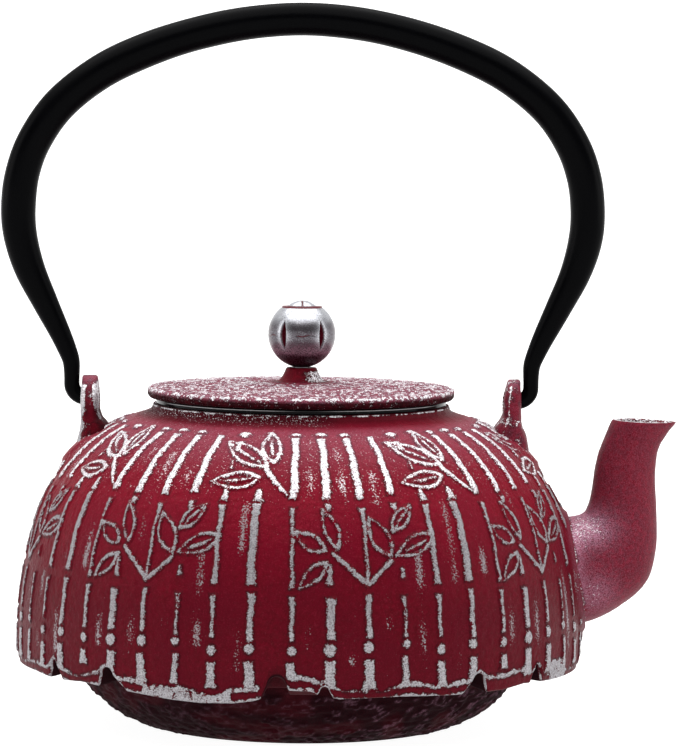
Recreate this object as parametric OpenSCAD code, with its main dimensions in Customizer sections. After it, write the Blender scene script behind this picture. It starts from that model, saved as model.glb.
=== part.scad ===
// Cast iron teapot: a body with a ragged skirt, spout and two lugs in one casting,
// a black enamel lining, a loose lid with a ball knob, a bail handle hooked into
// the lugs, and a lift-out infuser.
// Millimetres. The origin is the centre of the foot on the table, +Z is up and
// the spout points along +X.

/* [Body] */
// Radius of the body just above the hem
body_r = 85; // [84.5:0.5:86]
// Height of the hem above the table
hem_z = 18.4; // [17.6:0.2:18.8]
// Thickness of the iron
wall = 3.6; // [3.4:0.1:3.8]
// Outer radius of the foot
foot_r = 45.8; // [44:0.2:46.6]
// Radius of the mouth in the bare iron
mouth_r = 39.4; // [39.2:0.1:39.6]
// Thickness of the enamel
enamel = 0.4; // [0.3:0.05:0.5]

/* [Lid] */
// Radius of the lid
lid_r = 46; // [45.2:0.1:46.4]
// Thickness of the lid at its edge
lid_edge = 3.3; // [3:0.1:3.6]
// Radius of the ball of the knob
ball_r = 10.1; // [9.8:0.1:10.4]

/* [Bail] */
// Height of the pivot of the bail above the table
pivot_z = 96.9; // [96.4:0.1:97.2]
// Radius of the hole through each lug
lug_bore_r = 3.4; // [3.3:0.1:3.6]
// Radius of the rod at the hooks
rod_r = 2.4; // [2.3:0.05:2.45]
// Radius of the bail at its sides
bail_r = 5.25; // [5:0.05:5.4]

/* [Infuser] */
// Height of the bottom of the basket above the table
basket_z = 44.5; // [40:0.5:50]
// Radius of the basket inside
basket_r = 37; // [36.6:0.1:37]

/* [Hidden] */
$fn = 96;

iron_color = [0.55, 0.08, 0.17];
silver_color = [0.74, 0.74, 0.75];
black_color = [0.05, 0.05, 0.055];
steel_color = [0.66, 0.67, 0.68];

// Outline of the body, as arcs that run into each other: [radius, angle where it ends]
side_arc = [118, 16.7];
shoulder_arc = [52, 40];
top_arc = [44, 75];
side_start = -2.8;
side_center = [body_r - side_arc[0], 26.7];
shoulder_center = next_center(side_center, side_arc, shoulder_arc[0]);
top_center = next_center(shoulder_center, shoulder_arc, top_arc[0]);
bowl_center = [38, 32];
bowl_r = 32.7;
bowl_end = -20;
floor_z = 4.2;
hem_r = body_r - 1.6;
hem_inner_r = 81.8;
ledge = [[72, 25.6], [79, 29.6]];

// Mouth: the rim stands up inside the edge of the neck, with a seat for the infuser
neck_r = 44.5;
neck_z = 95.6;
rim_r = 43;
rim_z = 96.8;
seat_r = 41.6;
seat_z = 95;

// Hem: [angle from the front towards the spout, width, height of the top of the notch]
notches = [
    [-56.7, 4.6, 24.1], [-40.1, 5.2, 24.6], [-3.6, 5.6, 25.2], [5.6, 2.6, 22.4], [38.3, 4.8, 24.2],
    [55.8, 3.6, 24.4], [83, 5, 24], [104, 4, 23.6], [122, 5.6, 24.6], [148, 3.4, 23.4],
    [161, 4.8, 24.2], [187, 5.6, 25], [196, 2.6, 22.6], [231, 4.6, 24], [252, 4, 24.4], [277, 5, 24]];
notch_r = 74;
notch_flare = 2.4;

// Spout: each station has its inner edge [x, z], its outer edge [x, z], half its width
// across, and how far its outer edge is drawn out into a beak
spout_stations = [
    [[58, 63], [60, 28.4], 15.5, 0], [[71, 63], [78, 29], 15.5, 0], [[80, 62.4], [89.2, 31.7], 15, 0],
    [[84.8, 63.6], [98.4, 37], 13.8, 0], [[86.4, 66.4], [104.6, 43.6], 12.2, 0],
    [[87.4, 70.8], [107, 53], 10.8, 0.05], [[88.2, 76.4], [107.1, 64], 9.6, 0.1],
    [[89.2, 81.6], [106.5, 75], 8.8, 0.15], [[90.6, 85.8], [107.3, 82.6], 8.4, 0.2],
    [[92, 89.2], [110, 87.8], 8.4, 0.26], [[93.2, 91.9], [112.8, 91.2], 8.6, 0.3]];
spout_wall = 2.9;
spout_lip = 1.9;
spout_overrun = 2;
spout_sides = 24;
spout_steps = 3;

// Lugs
lug_x = [60.3, 66];
lug_top_r = 6.7;
lug_foot = [11, 74];
lug_inside = [[55, 74], [57.2, 87.6], [58, 89.4], [59.4, 91], [60.3, 93]];
lug_outside = [[66, 88], [67.6, 81], [69, 74]];
lug_outside_spout = [[66, 90.4], [67.6, 86.6], [68.6, 81], [69.4, 74]];

// Lid and knob
lid_z = rim_z + enamel + 0.1;
lid_recess_z = lid_z + 0.7;
lid_top_z = lid_z + lid_edge;
lid_rise = 1.1;
pedestal_z = 106.5;
pedestal_r = 4.65;
pedestal_foot = [6.8, 102.6];
spigot = [34, 36.4, 7];
screw_hole_r = 2.2;
knob_gap = 0.1;
ball_z = pedestal_z + knob_gap + 9.9;
ball_flat_z = ball_z + 7.9;
cap_r = 4.3;
cap_rise = 1.75;
cap_step = [6, 0.5];
knob_turn = 2.4;
slit_count = 5;
slit_long = 4.5;
slit_half_width = 1.1;
slit_depth = 2.6;
petal_cut = 0.5;
screw_r = 1.95;
screw_bore_r = 2;
screw_top = ball_z + 2;
screw_head = [3.8, 2.2];
screw_slot = 1;
washer = [2.2, 5.2, 0.8];

// Bail: half of its centre line [x, z], with its radius, from the hook to the top
bail_half = [
    [68.75, 104.6, 2.5], [69, 107.8, 2.7], [70.2, 111.2, 2.95], [72.5, 116.4, 3.3], [76.8, 125.2, 3.95],
    [81.6, 135.4, 4.7], [84.4, 145.2, 5.15], [85, 154, bail_r], [83.8, 164, bail_r], [80.1, 174, bail_r],
    [72.8, 184.4, bail_r], [61.6, 193.5, bail_r], [49, 200, bail_r], [34, 205.3, 5.1],
    [17, 209.1, 5], [0, 210.4, 5]];
bail_sides = 16;
bail_steps = 3;
shank_x = bail_half[0][0];
bend_r = 4.1;
pin_end = 60.9;

// Infuser
sheet = 0.6;
collar_r = basket_r + 0.6;
flange_z = seat_z + enamel;
flange_r = seat_r - enamel - 0.3;
collar_low_z = 85;
base_band_h = 5.5;
base_lip_r = 33;

function next_center(center, arc_now, next_r) =
    center + (arc_now[0] - next_r) * [cos(arc_now[1]), sin(arc_now[1])];
function arc(center, r, from, to, steps) =
    [for (i = [0:steps]) let (a = from + (to - from) * i / steps) center + r * [cos(a), sin(a)]];
function reversed(list) = [for (i = [len(list) - 1:-1:0]) list[i]];

// A point on the smooth curve through a list of points, at t from 0 to len(list) - 1
function clamped(list, i) = list[max(0, min(len(list) - 1, i))];
function smooth_at(list, t) =
    let (i = min(floor(t), len(list) - 2), f = t - i,
        a = clamped(list, i - 1), b = list[i], c = list[i + 1], d = clamped(list, i + 2))
    0.5 * (2 * b + (c - a) * f + (2 * a - 5 * b + 4 * c - d) * f * f
        + (3 * b - a - 3 * c + d) * f * f * f);
function smoothed(list, steps) =
    [for (k = [0:(len(list) - 1) * steps]) smooth_at(list, k / steps)];

// The wall from the hem to the neck, moved inwards by inset
function wall_curve(inset) = concat(
    arc(side_center, side_arc[0] - inset, inset > 0 ? 2.4 : side_start, side_arc[1], 6),
    arc(shoulder_center, shoulder_arc[0] - inset, side_arc[1] + 4, shoulder_arc[1], 6),
    arc(top_center, top_arc[0] - inset, shoulder_arc[1] + 4,
        inset > 0 ? acos((mouth_r + wall - inset - top_center[0]) / (top_arc[0] - inset)) : top_arc[1], 9));

body_outline = concat(
    [[0, 0], [foot_r - 0.5, 0]],
    arc(bowl_center, bowl_r, -acos((foot_r + 0.3 - bowl_center[0]) / bowl_r), bowl_end, 12),
    [[hem_inner_r, hem_z], [hem_r, hem_z], [body_r - 0.7, hem_z + 0.8]],
    wall_curve(0),
    [[neck_r + 0.6, neck_z - 2], [neck_r, neck_z - 1.3], [neck_r, neck_z - 0.4], [neck_r - 0.4, neck_z],
    [rim_r, neck_z], [rim_r, rim_z], [0, rim_z]]);

// The hollow of the body, from the middle of the floor to the mouth, with a coat on it
function hollow(coat) = concat(
    [[0, floor_z + coat]],
    arc(bowl_center, bowl_r - wall - coat,
        -acos(8.6 / (bowl_r - wall - coat)), bowl_end - 2, 10),
    [for (p = ledge) p + [-0.6 * coat, coat]],
    wall_curve(wall + coat),
    [[mouth_r - coat, seat_z + coat], [seat_r - coat, seat_z + coat]]);

// A closed solid through a list of rings of points
module loft(rings) {
    sides = len(rings[0]);
    last = len(rings) - 1;
    skin = [for (i = [0:last - 1], j = [0:sides - 1])
        let (a = i * sides + j, b = i * sides + (j + 1) % sides)
        each [[a, b + sides, b], [a, a + sides, b + sides]]];
    caps = [[for (j = [0:sides - 1]) j], [for (j = [sides - 1:-1:0]) last * sides + j]];
    polyhedron([for (ring = rings) each ring], concat(skin, caps));
}

// One ring of the spout, its edges moved in by inset
function spout_ring(inner, outer, half_w, beak, inset) =
    let (mid = (inner + outer) / 2, half = (outer - inner) / 2, k = 1 - inset / norm(half))
    [for (j = [0:spout_sides - 1]) let (a = 360 * j / spout_sides, u = cos(a),
        v = (half_w - inset) * sin(a) * (1 - beak * max(0, u)), p = mid + half * k * u)
        [p[0], v, p[1]]];

module spout_solid() {
    rings = [for (s = smoothed([for (s = spout_stations) concat(s[0], s[1], [s[2], s[3]])], spout_steps))
        spout_ring([s[0], s[1]], [s[2], s[3]], s[4], s[5], 0)];
    loft(rings);
}

// The way through the spout, with thinner iron at the lip
module spout_channel() {
    last = len(spout_stations) - 1;
    rings = [for (k = [0:last * spout_steps]) let (t = k / spout_steps,
        s = smooth_at([for (s = spout_stations) concat(s[0], s[1], [s[2], s[3]])], t),
        inset = spout_wall + (spout_lip - spout_wall) * max(0, t - last + 3) / 3)
        spout_ring([s[0], s[1]], [s[2], s[3]], s[4], s[5], inset)];
    loft(concat(rings, [[for (p = rings[len(rings) - 1]) p + [0.3, 0, spout_overrun]]]));
}

module hem_notch(angle, width, top) {
    r = width / 2;
    rotate([0, 0, angle - 90]) translate([notch_r, 0, 0]) rotate([90, 0, 90]) {
        translate([0, top - r]) cylinder(r = r, h = body_r, $fn = 32);
        linear_extrude(body_r)
            polygon([[-r, top - r], [r, top - r],
                [r + notch_flare, hem_z - 1], [-r - notch_flare, hem_z - 1]]);
    }
}

module lug_solid(outside) {
    intersection() {
        rotate([90, 0, 90]) linear_extrude(body_r)
            polygon(concat([for (p = arc([0, pivot_z], lug_top_r, 0, 180, 24)) p],
                [[-lug_foot[0], lug_foot[1]], [lug_foot[0], lug_foot[1]]]));
        translate([0, body_r / 2, 0]) rotate([90, 0, 0]) linear_extrude(body_r)
            polygon(concat(
                [[lug_x[0], pivot_z + 10], [lug_x[1], pivot_z + 10]], outside, lug_inside));
    }
}

module body_casting() {
    color(iron_color) difference() {
        union() {
            rotate_extrude() polygon(body_outline);
            spout_solid();
            lug_solid(lug_outside_spout);
            mirror([1, 0, 0]) lug_solid(lug_outside);
        }
        rotate_extrude() polygon(concat(hollow(0), [[seat_r, rim_z + 1], [0, rim_z + 1]]));
        spout_channel();
        for (n = notches) hem_notch(n[0], n[1], n[2]);
        translate([-body_r, 0, pivot_z]) rotate([0, 90, 0]) cylinder(r = lug_bore_r, h = 2 * body_r);
    }
}

module enamel_lining() {
    top = rim_z + enamel;
    color(black_color) difference() {
        rotate_extrude() polygon(concat(
            hollow(0),
            [[seat_r, rim_z], [rim_r, rim_z], [rim_r, neck_z], [rim_r + enamel, neck_z],
            [rim_r + enamel, top - 0.2], [rim_r + enamel - 0.2, top], [seat_r - enamel, top]],
            reversed(hollow(enamel))));
        spout_channel();
    }
}

module lid_casting() {
    color(iron_color) difference() {
        rotate_extrude() polygon(concat(
            [[0, lid_recess_z], [spigot[0], lid_recess_z], [spigot[0], lid_z - spigot[2] + 0.6],
            [spigot[0] + 0.6, lid_z - spigot[2]], [spigot[1] - 0.6, lid_z - spigot[2]],
            [spigot[1], lid_z - spigot[2] + 0.6], [spigot[1], lid_z], [lid_r - 1.2, lid_z],
            [lid_r, lid_z + 0.9], [lid_r, lid_top_z - 0.9]],
            arc([lid_r - 0.9, lid_top_z - 0.9], 0.9, 20, 90, 4),
            [[28, lid_top_z + 0.8 * lid_rise], [14, lid_top_z + lid_rise], [10, lid_top_z + lid_rise + 0.3],
            [8.2, lid_top_z + lid_rise + 0.7], pedestal_foot, [5.5, 104.2], [4.9, 105.5],
            [pedestal_r, pedestal_z - 0.3], [pedestal_r - 0.3, pedestal_z], [0, pedestal_z]]));
        translate([0, 0, lid_z - 1]) cylinder(r = screw_hole_r, h = pedestal_z, $fn = 48);
    }
}

// A lens: where two discs of one radius cross
module lens(half_long, half_wide) {
    r = (half_long * half_long + half_wide * half_wide) / (2 * half_wide);
    intersection() {
        translate([r - half_wide, 0]) circle(r = r);
        translate([half_wide - r, 0]) circle(r = r);
    }
}

module knob() {
    bottom_z = pedestal_z + knob_gap;
    cap_sphere_r = (cap_r * cap_r + cap_rise * cap_rise) / (2 * cap_rise);
    cap_z = ball_flat_z + cap_step[1] + cap_rise - cap_sphere_r;
    color(silver_color) difference() {
        union() {
            intersection() {
                translate([0, 0, ball_z]) sphere(r = ball_r);
                translate([0, 0, bottom_z]) cylinder(r = 2 * ball_r, h = ball_flat_z - bottom_z);
            }
            intersection() {
                translate([0, 0, cap_z]) sphere(r = cap_sphere_r);
                translate([0, 0, ball_flat_z]) cylinder(r = cap_r, h = 2 * cap_rise);
            }
            translate([0, 0, ball_flat_z - 1]) cylinder(r = cap_step[0], h = cap_step[1] + 1);
        }
        for (i = [0:slit_count - 1]) rotate([0, 0, knob_turn + 90 + i * 360 / slit_count])
            translate([ball_r - slit_depth, 0, ball_z]) rotate([90, 0, 90])
                linear_extrude(2 * slit_depth) lens(slit_long, slit_half_width);
        for (i = [0:slit_count - 1]) rotate([0, 0, knob_turn - 90 + i * 360 / slit_count])
            translate([0.8, -petal_cut / 2, ball_flat_z + 1]) cube([cap_r, petal_cut, cap_rise]);
        translate([0, 0, bottom_z - 1])
            cylinder(r = screw_bore_r, h = screw_top - bottom_z + 1.5, $fn = 48);
    }
}

module knob_screw() {
    head_top = lid_recess_z - washer[2];
    color(steel_color) difference() {
        union() {
            translate([0, 0, head_top - 0.1])
                cylinder(r = screw_r, h = screw_top - head_top + 0.1, $fn = 48);
            translate([0, 0, head_top - screw_head[1]]) cylinder(r = screw_head[0], h = screw_head[1]);
        }
        translate([-screw_head[0] - 1, -screw_slot / 2, head_top - screw_head[1] - 1])
            cube([2 * screw_head[0] + 2, screw_slot, 2]);
    }
}

module knob_washer() {
    color(steel_color) translate([0, 0, lid_recess_z - washer[2]]) difference() {
        cylinder(r = washer[1], h = washer[2]);
        translate([0, 0, -1]) cylinder(r = washer[0], h = 3, $fn = 48);
    }
}

// The tapered bar of the bail, from one hook over the top to the other
module bail_bar() {
    left = [for (p = bail_half) [-p[0], p[1], p[2]]];
    path = smoothed(concat(left, [for (i = [len(left) - 2:-1:0]) bail_half[i]]), bail_steps);
    loft([for (i = [0:len(path) - 1]) let (
        p = path[i], step = clamped(path, i + 1) - clamped(path, i - 1),
        along = [step[0], step[1]] / norm([step[0], step[1]]))
        [for (j = [0:bail_sides - 1]) let (a = 360 * j / bail_sides)
            [p[0] + p[2] * cos(a) * along[1], p[2] * sin(a), p[1] - p[2] * cos(a) * along[0]]]]);
}

// The hook at the right-hand end: a shank, a bend and the pin that turns in the lug
module hook() {
    shank_z = pivot_z + bend_r;
    translate([shank_x, 0, shank_z]) cylinder(r = rod_r, h = bail_half[0][1] + 1 - shank_z);
    translate([shank_x - bend_r, 0, shank_z]) rotate([90, 0, 0]) rotate([0, 0, -90])
        rotate_extrude(angle = 90) translate([bend_r, 0]) circle(r = rod_r);
    translate([pin_end, 0, pivot_z]) rotate([0, 90, 0]) cylinder(r = rod_r, h = shank_x - bend_r - pin_end);
}

module bail_handle() {
    color(black_color) union() {
        bail_bar();
        hook();
        mirror([1, 0, 0]) hook();
    }
}

module infuser_rim() {
    color(steel_color) rotate_extrude() polygon([
        [collar_r, collar_low_z], [collar_r + sheet, collar_low_z], [collar_r + sheet, flange_z],
        [flange_r - 0.1, flange_z], [flange_r, flange_z + 0.1], [flange_r, flange_z + sheet - 0.1],
        [flange_r - 0.1, flange_z + sheet], [collar_r, flange_z + sheet]]);
}

module infuser_wall_mesh() {
    low_z = basket_z + 2 * sheet;
    color(steel_color) rotate_extrude()
        translate([basket_r, low_z]) square([sheet, collar_low_z + 1 - low_z]);
}

module infuser_base_band() {
    color(steel_color) rotate_extrude() polygon([
        [base_lip_r, basket_z], [collar_r + sheet - 0.4, basket_z], [collar_r + sheet, basket_z + 0.4],
        [collar_r + sheet, basket_z + base_band_h], [collar_r, basket_z + base_band_h],
        [collar_r, basket_z + sheet], [base_lip_r, basket_z + sheet]]);
}

module infuser_base_mesh() {
    color(steel_color) translate([0, 0, basket_z + sheet]) cylinder(r = collar_r, h = sheet);
}

body_casting();
enamel_lining();
lid_casting();
knob();
knob_screw();
knob_washer();
bail_handle();
infuser_rim();
infuser_wall_mesh();
infuser_base_band();
infuser_base_mesh();
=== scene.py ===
import math

import bpy
import numpy as np
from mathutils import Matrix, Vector


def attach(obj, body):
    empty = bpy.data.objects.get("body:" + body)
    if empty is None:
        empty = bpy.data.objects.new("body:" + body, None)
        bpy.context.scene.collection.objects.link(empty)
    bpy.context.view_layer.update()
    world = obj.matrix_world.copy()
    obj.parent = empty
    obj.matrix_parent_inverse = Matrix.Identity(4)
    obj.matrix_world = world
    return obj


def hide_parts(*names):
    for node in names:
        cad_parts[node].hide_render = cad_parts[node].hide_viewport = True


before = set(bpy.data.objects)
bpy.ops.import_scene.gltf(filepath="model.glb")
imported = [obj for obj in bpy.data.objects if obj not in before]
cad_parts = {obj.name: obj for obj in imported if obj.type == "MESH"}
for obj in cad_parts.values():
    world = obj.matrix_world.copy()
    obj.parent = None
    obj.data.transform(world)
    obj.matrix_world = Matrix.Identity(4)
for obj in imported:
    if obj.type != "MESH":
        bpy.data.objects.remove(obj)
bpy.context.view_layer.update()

MM = 0.001
DEG = math.radians(1)
rng = np.random.default_rng(7)


# ---------------------------------------------------------------- numbers and noise

def smooth(edge0, edge1, x):
    """0 below edge0, 1 above edge1, and an S-curve between them."""
    t = np.clip((np.asarray(x, float) - edge0) / (edge1 - edge0), 0, 1)
    return t * t * (3 - 2 * t)


def between(low, high, x, fade=1.5):
    """1 between low and high and 0 outside them."""
    return smooth(low - fade, low + fade, x) * smooth(high + fade, high - fade, x)


def signed(degrees):
    """An angle as one from -180 to 180."""
    return (degrees + 180) % 360 - 180


def noise3(points, size, seed):
    """Smooth noise, about -1 to 1, at points in mm, with features of the given size in mm."""
    q = np.asarray(points, float) / size + 512 + 31 * seed
    cell = np.floor(q).astype(np.int64)
    f = q - cell
    f = f * f * f * (f * (6 * f - 15) + 10)
    total = np.zeros(len(q))
    for corner in np.ndindex(2, 2, 2):
        h = ((cell + corner) * (73856093, 19349663, 83492791)).sum(1) + seed * 374761393
        h = (h ^ (h >> 13)) * 1274126177 & 0xFFFFFFFF
        h = (h ^ (h >> 16)) * 2246822519 & 0xFFFFFFFF
        value = ((h ^ (h >> 15)) & 0xFFFF) / 32767.5 - 1
        total += value * np.prod(np.where(corner, f, 1 - f), axis=1)
    return 1.6 * total


def curve_through(points, steps):
    """The smooth (Catmull-Rom) curve through rows of numbers, with steps rows between each two."""
    p = np.asarray(points, float)
    p = np.vstack([p[0], p, p[-1]])
    t = np.arange(0, len(points) - 1 + 1e-9, 1 / steps)
    i = np.minimum(t.astype(int), len(points) - 2)
    f = (t - i)[:, None]
    a, b, c, d = p[i], p[i + 1], p[i + 2], p[i + 3]
    return 0.5 * (2 * b + (c - a) * f + (2 * a - 5 * b + 4 * c - d) * f**2
                  + (3 * b - a - 3 * c + d) * f**3)


def arc(center, radius, start, end, steps):
    """Points (r, z) on an arc, with angles in degrees from the level."""
    a = np.radians(np.linspace(start, end, steps + 1))
    return np.stack([center[0] + radius * np.cos(a), center[1] + radius * np.sin(a)], 1)


# ---------------------------------------------------------------- meshes

def make_piece(name, points, faces, attributes):
    """A mesh object from points in mm and lists of triangles and quads, shaded smooth."""
    faces = [np.asarray(f, np.int32) for f in faces if len(f)]
    corners = np.concatenate([f.ravel() for f in faces])
    sizes = np.concatenate([np.full(len(f), f.shape[1]) for f in faces])
    mesh = bpy.data.meshes.new(name)
    mesh.vertices.add(len(points))
    mesh.vertices.foreach_set("co", (np.asarray(points, float) * MM).astype(np.float32).ravel())
    mesh.loops.add(len(corners))
    mesh.loops.foreach_set("vertex_index", corners)
    mesh.polygons.add(len(sizes))
    starts = np.concatenate([[0], np.cumsum(sizes)[:-1]])
    mesh.polygons.foreach_set("loop_start", starts.astype(np.int32))
    mesh.update(calc_edges=True)
    for key, values in attributes.items():
        layer = mesh.attributes.new(key, "FLOAT", "POINT")
        layer.data.foreach_set("value", np.asarray(values, np.float32))
    mesh.shade_smooth()
    piece = bpy.data.objects.new(name, mesh)
    bpy.context.scene.collection.objects.link(piece)
    return piece


class Skin:
    """A closed surface of rings of points, each joined to the next. A ring may have as many points
    as the one before, half as many, or twice as many."""

    def __init__(self):
        self.points, self.values, self.quads, self.triangles = [], {}, [], []
        self.count = 0
        self.first = self.last = None

    def ring(self, points, **values):
        """Adds a ring and joins it to the one before. Values are floats for each of its points."""
        n, start = len(points), self.count
        self.points.append(points)
        for key in values:
            self.values.setdefault(key, {})[start] = np.broadcast_to(values[key], n)
        self.count += n
        if self.last is None:
            self.first = (start, n)
        else:
            self._join(self.last, (start, n))
        self.last = (start, n)

    def close(self):
        """Joins the last ring to the first."""
        self._join(self.last, self.first)

    def _join(self, low, high):
        """Faces between two rings, each given as its first point's number and its count."""
        (a, n), (b, m) = low, high
        if n == m:
            i = np.arange(n)
            j = (i + 1) % n
            self.quads.append(np.stack([a + i, a + j, b + j, b + i], 1))
        elif n == 2 * m:
            i = np.arange(m)
            j = (i + 1) % m
            left, mid, right = a + 2 * i, a + 2 * i + 1, a + 2 * j
            corners = (left, mid, b + i), (mid, b + j, b + i), (mid, right, b + j)
            self.triangles += [np.stack(c, 1) for c in corners]
        else:
            i = np.arange(n)
            j = (i + 1) % n
            left, mid, right = b + 2 * i, b + 2 * i + 1, b + 2 * j
            corners = (a + i, mid, left), (a + i, a + j, mid), (a + j, right, mid)
            self.triangles += [np.stack(c, 1) for c in corners]

    def cap(self, point, first=False):
        """Closes the last ring, or the first one, with a fan to one point."""
        start, n = self.first if first else self.last
        self.points.append(np.asarray([point], float))
        i = np.arange(n)
        j = (i + 1) % n
        fan = [start + i, start + j, np.full(n, self.count)]
        self.triangles.append(np.stack(fan[::-1] if first else fan, 1))
        self.count += 1

    def piece(self, name):
        """Makes the mesh object. A value that a ring wasn't given is 0 there."""
        points = np.concatenate(self.points)
        made = {}
        for key, parts in self.values.items():
            made[key] = np.zeros(self.count)
            for start, part in parts.items():
                made[key][start:start + len(part)] = part
        faces = [np.concatenate(f) for f in (self.quads, self.triangles) if f]
        return make_piece(name, points, faces, made)


def around(count):
    """Angles of a full turn, in radians."""
    return np.arange(count) * 2 * np.pi / count


def polar(r, azimuth, z):
    """Points at an azimuth in radians. r and z are numbers or one value for each point."""
    return np.stack([r * np.sin(azimuth), -r * np.cos(azimuth), z + 0 * azimuth], 1)


def ring_at(r, z, count):
    """Points round the Z axis. r and z are numbers or one value for each point."""
    return polar(r, around(count), z)


def turned(name, outline, count):
    """A solid of revolution from a closed outline of (r, z) points."""
    skin = Skin()
    for r, z in outline:
        skin.ring(ring_at(r, z, count))
    skin.close()
    return skin.piece(name)


def apply_boolean(piece, operation, others):
    """Cuts or joins closed meshes exactly, and removes the others."""
    for other in others:
        step = piece.modifiers.new(operation, "BOOLEAN")
        step.operation, step.object, step.solver = operation, other, "MANIFOLD"
    graph = bpy.context.evaluated_depsgraph_get()
    result = bpy.data.meshes.new_from_object(piece.evaluated_get(graph))
    piece.modifiers.clear()
    piece.data = result
    for other in others:
        bpy.data.objects.remove(other)


# ---------------------------------------------------------------- the wall of the pot

HEM_Z = 18.1        # height at arc length 0
SIDE_R, SHOULDER_R, TOP_R = 118.0, 52.0, 44.0
SIDE_CENTER = np.array([85.0 - SIDE_R, 26.7])
SIDE_END, SHOULDER_END, TOP_END = 16.7, 40.0, 75.0
WALL = 3.6          # thickness of the iron
WALL_STEPS = 160    # rows of the table for each of the three arcs
GROUND = 0.74       # how far the ground between the raised strokes lies inside the CAD wall
RELIEF = 0.56       # how high the strokes stand above the ground


def direction(degrees):
    """A unit vector (r, z) at an angle from the level."""
    return np.array([math.cos(math.radians(degrees)), math.sin(math.radians(degrees))])


SHOULDER_CENTER = SIDE_CENTER + (SIDE_R - SHOULDER_R) * direction(SIDE_END)
TOP_CENTER = SHOULDER_CENTER + (SHOULDER_R - TOP_R) * direction(SHOULDER_END)


def wall_table():
    """Rows of arc length, r, z and slope angle up the wall, from under the hem to the neck."""
    parts = []
    for center, radius, start, end in ((SIDE_CENTER, SIDE_R, -6, SIDE_END),
                                       (SHOULDER_CENTER, SHOULDER_R, SIDE_END, SHOULDER_END),
                                       (TOP_CENTER, TOP_R, SHOULDER_END, TOP_END)):
        points = arc(center, radius, start, end, WALL_STEPS)
        parts.append(np.column_stack([points, np.linspace(start, end, WALL_STEPS + 1)])[:-1])
    table = np.concatenate(parts)
    length = np.concatenate([[0], np.cumsum(np.hypot(*np.diff(table[:, :2], axis=0).T))])
    length -= np.interp(HEM_Z, table[:, 1], length)
    return np.column_stack([length, table])


WALL_TABLE = wall_table()
WALL_TOP = WALL_TABLE[-1, 0]


def wall_at(v):
    """r, z and slope (radians) of the CAD wall at arc length v."""
    r, z, slope = (np.interp(v, WALL_TABLE[:, 0], WALL_TABLE[:, k]) for k in (1, 2, 3))
    return r, z, np.radians(slope)


# Lower edge of the hem: height (mm) at an azimuth, before the notches are cut
HEM_LINE = np.array([
    (-180, 18.6), (-160, 18.2), (-140, 19), (-120, 18.1), (-100, 18.8), (-84, 18.4), (-66, 18.9),
    (-57, 18.2), (-48, 19.1), (-34, 18.2), (-25, 17.1), (-18.7, 16.7), (-12, 17.1), (-8, 18),
    (-2, 21.2), (3, 20.9), (5, 19.6), (8.5, 18.7), (20.5, 19), (33, 18.5), (45, 18.4), (51.6, 19.3),
    (62, 18.6), (78, 18.3), (95, 18.9), (112, 18.1), (130, 18.8), (152, 18.3), (166, 18.9),
    (180, 18.6)])
# Notches in the hem: azimuth, width, height of the top, and how far the left and right flanks run
# out where that isn't NOTCH_FLARE
NOTCH_FLARE = 2.4
NOTCHES = [(-56.7, 4.6, 24.1), (-40.1, 5.2, 24.6, 1.6, 6.2), (-3.6, 5.6, 25.2), (5.6, 2.6, 22.4),
           (38.3, 4.8, 24.2, 4.6, 1.3), (55.8, 3.6, 24.4), (83, 5, 24), (104, 4, 23.6),
           (122, 5.6, 24.6, 2.4, 4), (148, 3.4, 23.4), (161, 4.8, 24.2, 4, 2.4), (187, 5.6, 25),
           (196, 2.6, 22.6), (231, 4.6, 24), (252, 4, 24.4), (277, 5, 24)]
HEM_R = 84.0


def hem_edge(u):
    """Height of the hem's lower edge at azimuths u, with the notches and without them."""
    u = signed(u)
    plain = np.interp(u, HEM_LINE[:, 0], HEM_LINE[:, 1])
    edge = plain.copy()
    for azimuth, width, top, *flares in NOTCHES:
        x = signed(u - azimuth) * DEG * HEM_R
        flare = np.where(x < 0, *(flares or (NOTCH_FLARE, NOTCH_FLARE)))
        x = np.abs(x)
        half = width / 2
        roof = top - half + np.sqrt(np.clip(half**2 - x**2, 0, None))
        flank = top - half - (x - half) * (top - half - HEM_Z + 1) / flare
        edge = np.maximum(edge, np.where(x < half, roof, flank))
    return edge, plain


# ---------------------------------------------------------------- relief

# One panel of the bamboo: six canes 7.5 degrees apart. Degrees from the first cane, and heights.
PITCH = 7.5
FIRST_CANE = -0.9
FRONT_STRETCH = (70, 70.93)     # the panels lie a little wide at the front, and close up behind
PANELS, PANEL_CANES, FIRST_PANEL = 8, 6, -135
CELL_U, CELL_V = 0.25, 0.3      # cells of the relief map, degrees and mm
MAP_V0 = -2.0
FLARE_LENGTH = 1.7              # how fast a cane widens to its joints, in mm
WEAR = 0.75                     # what a stroke with no silver loses on each side, in mm
LEAF_POINTS = 9
MAP_SHAPE = (int((WALL_TOP - MAP_V0) / CELL_V) + 2, int(360 / CELL_U))

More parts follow.
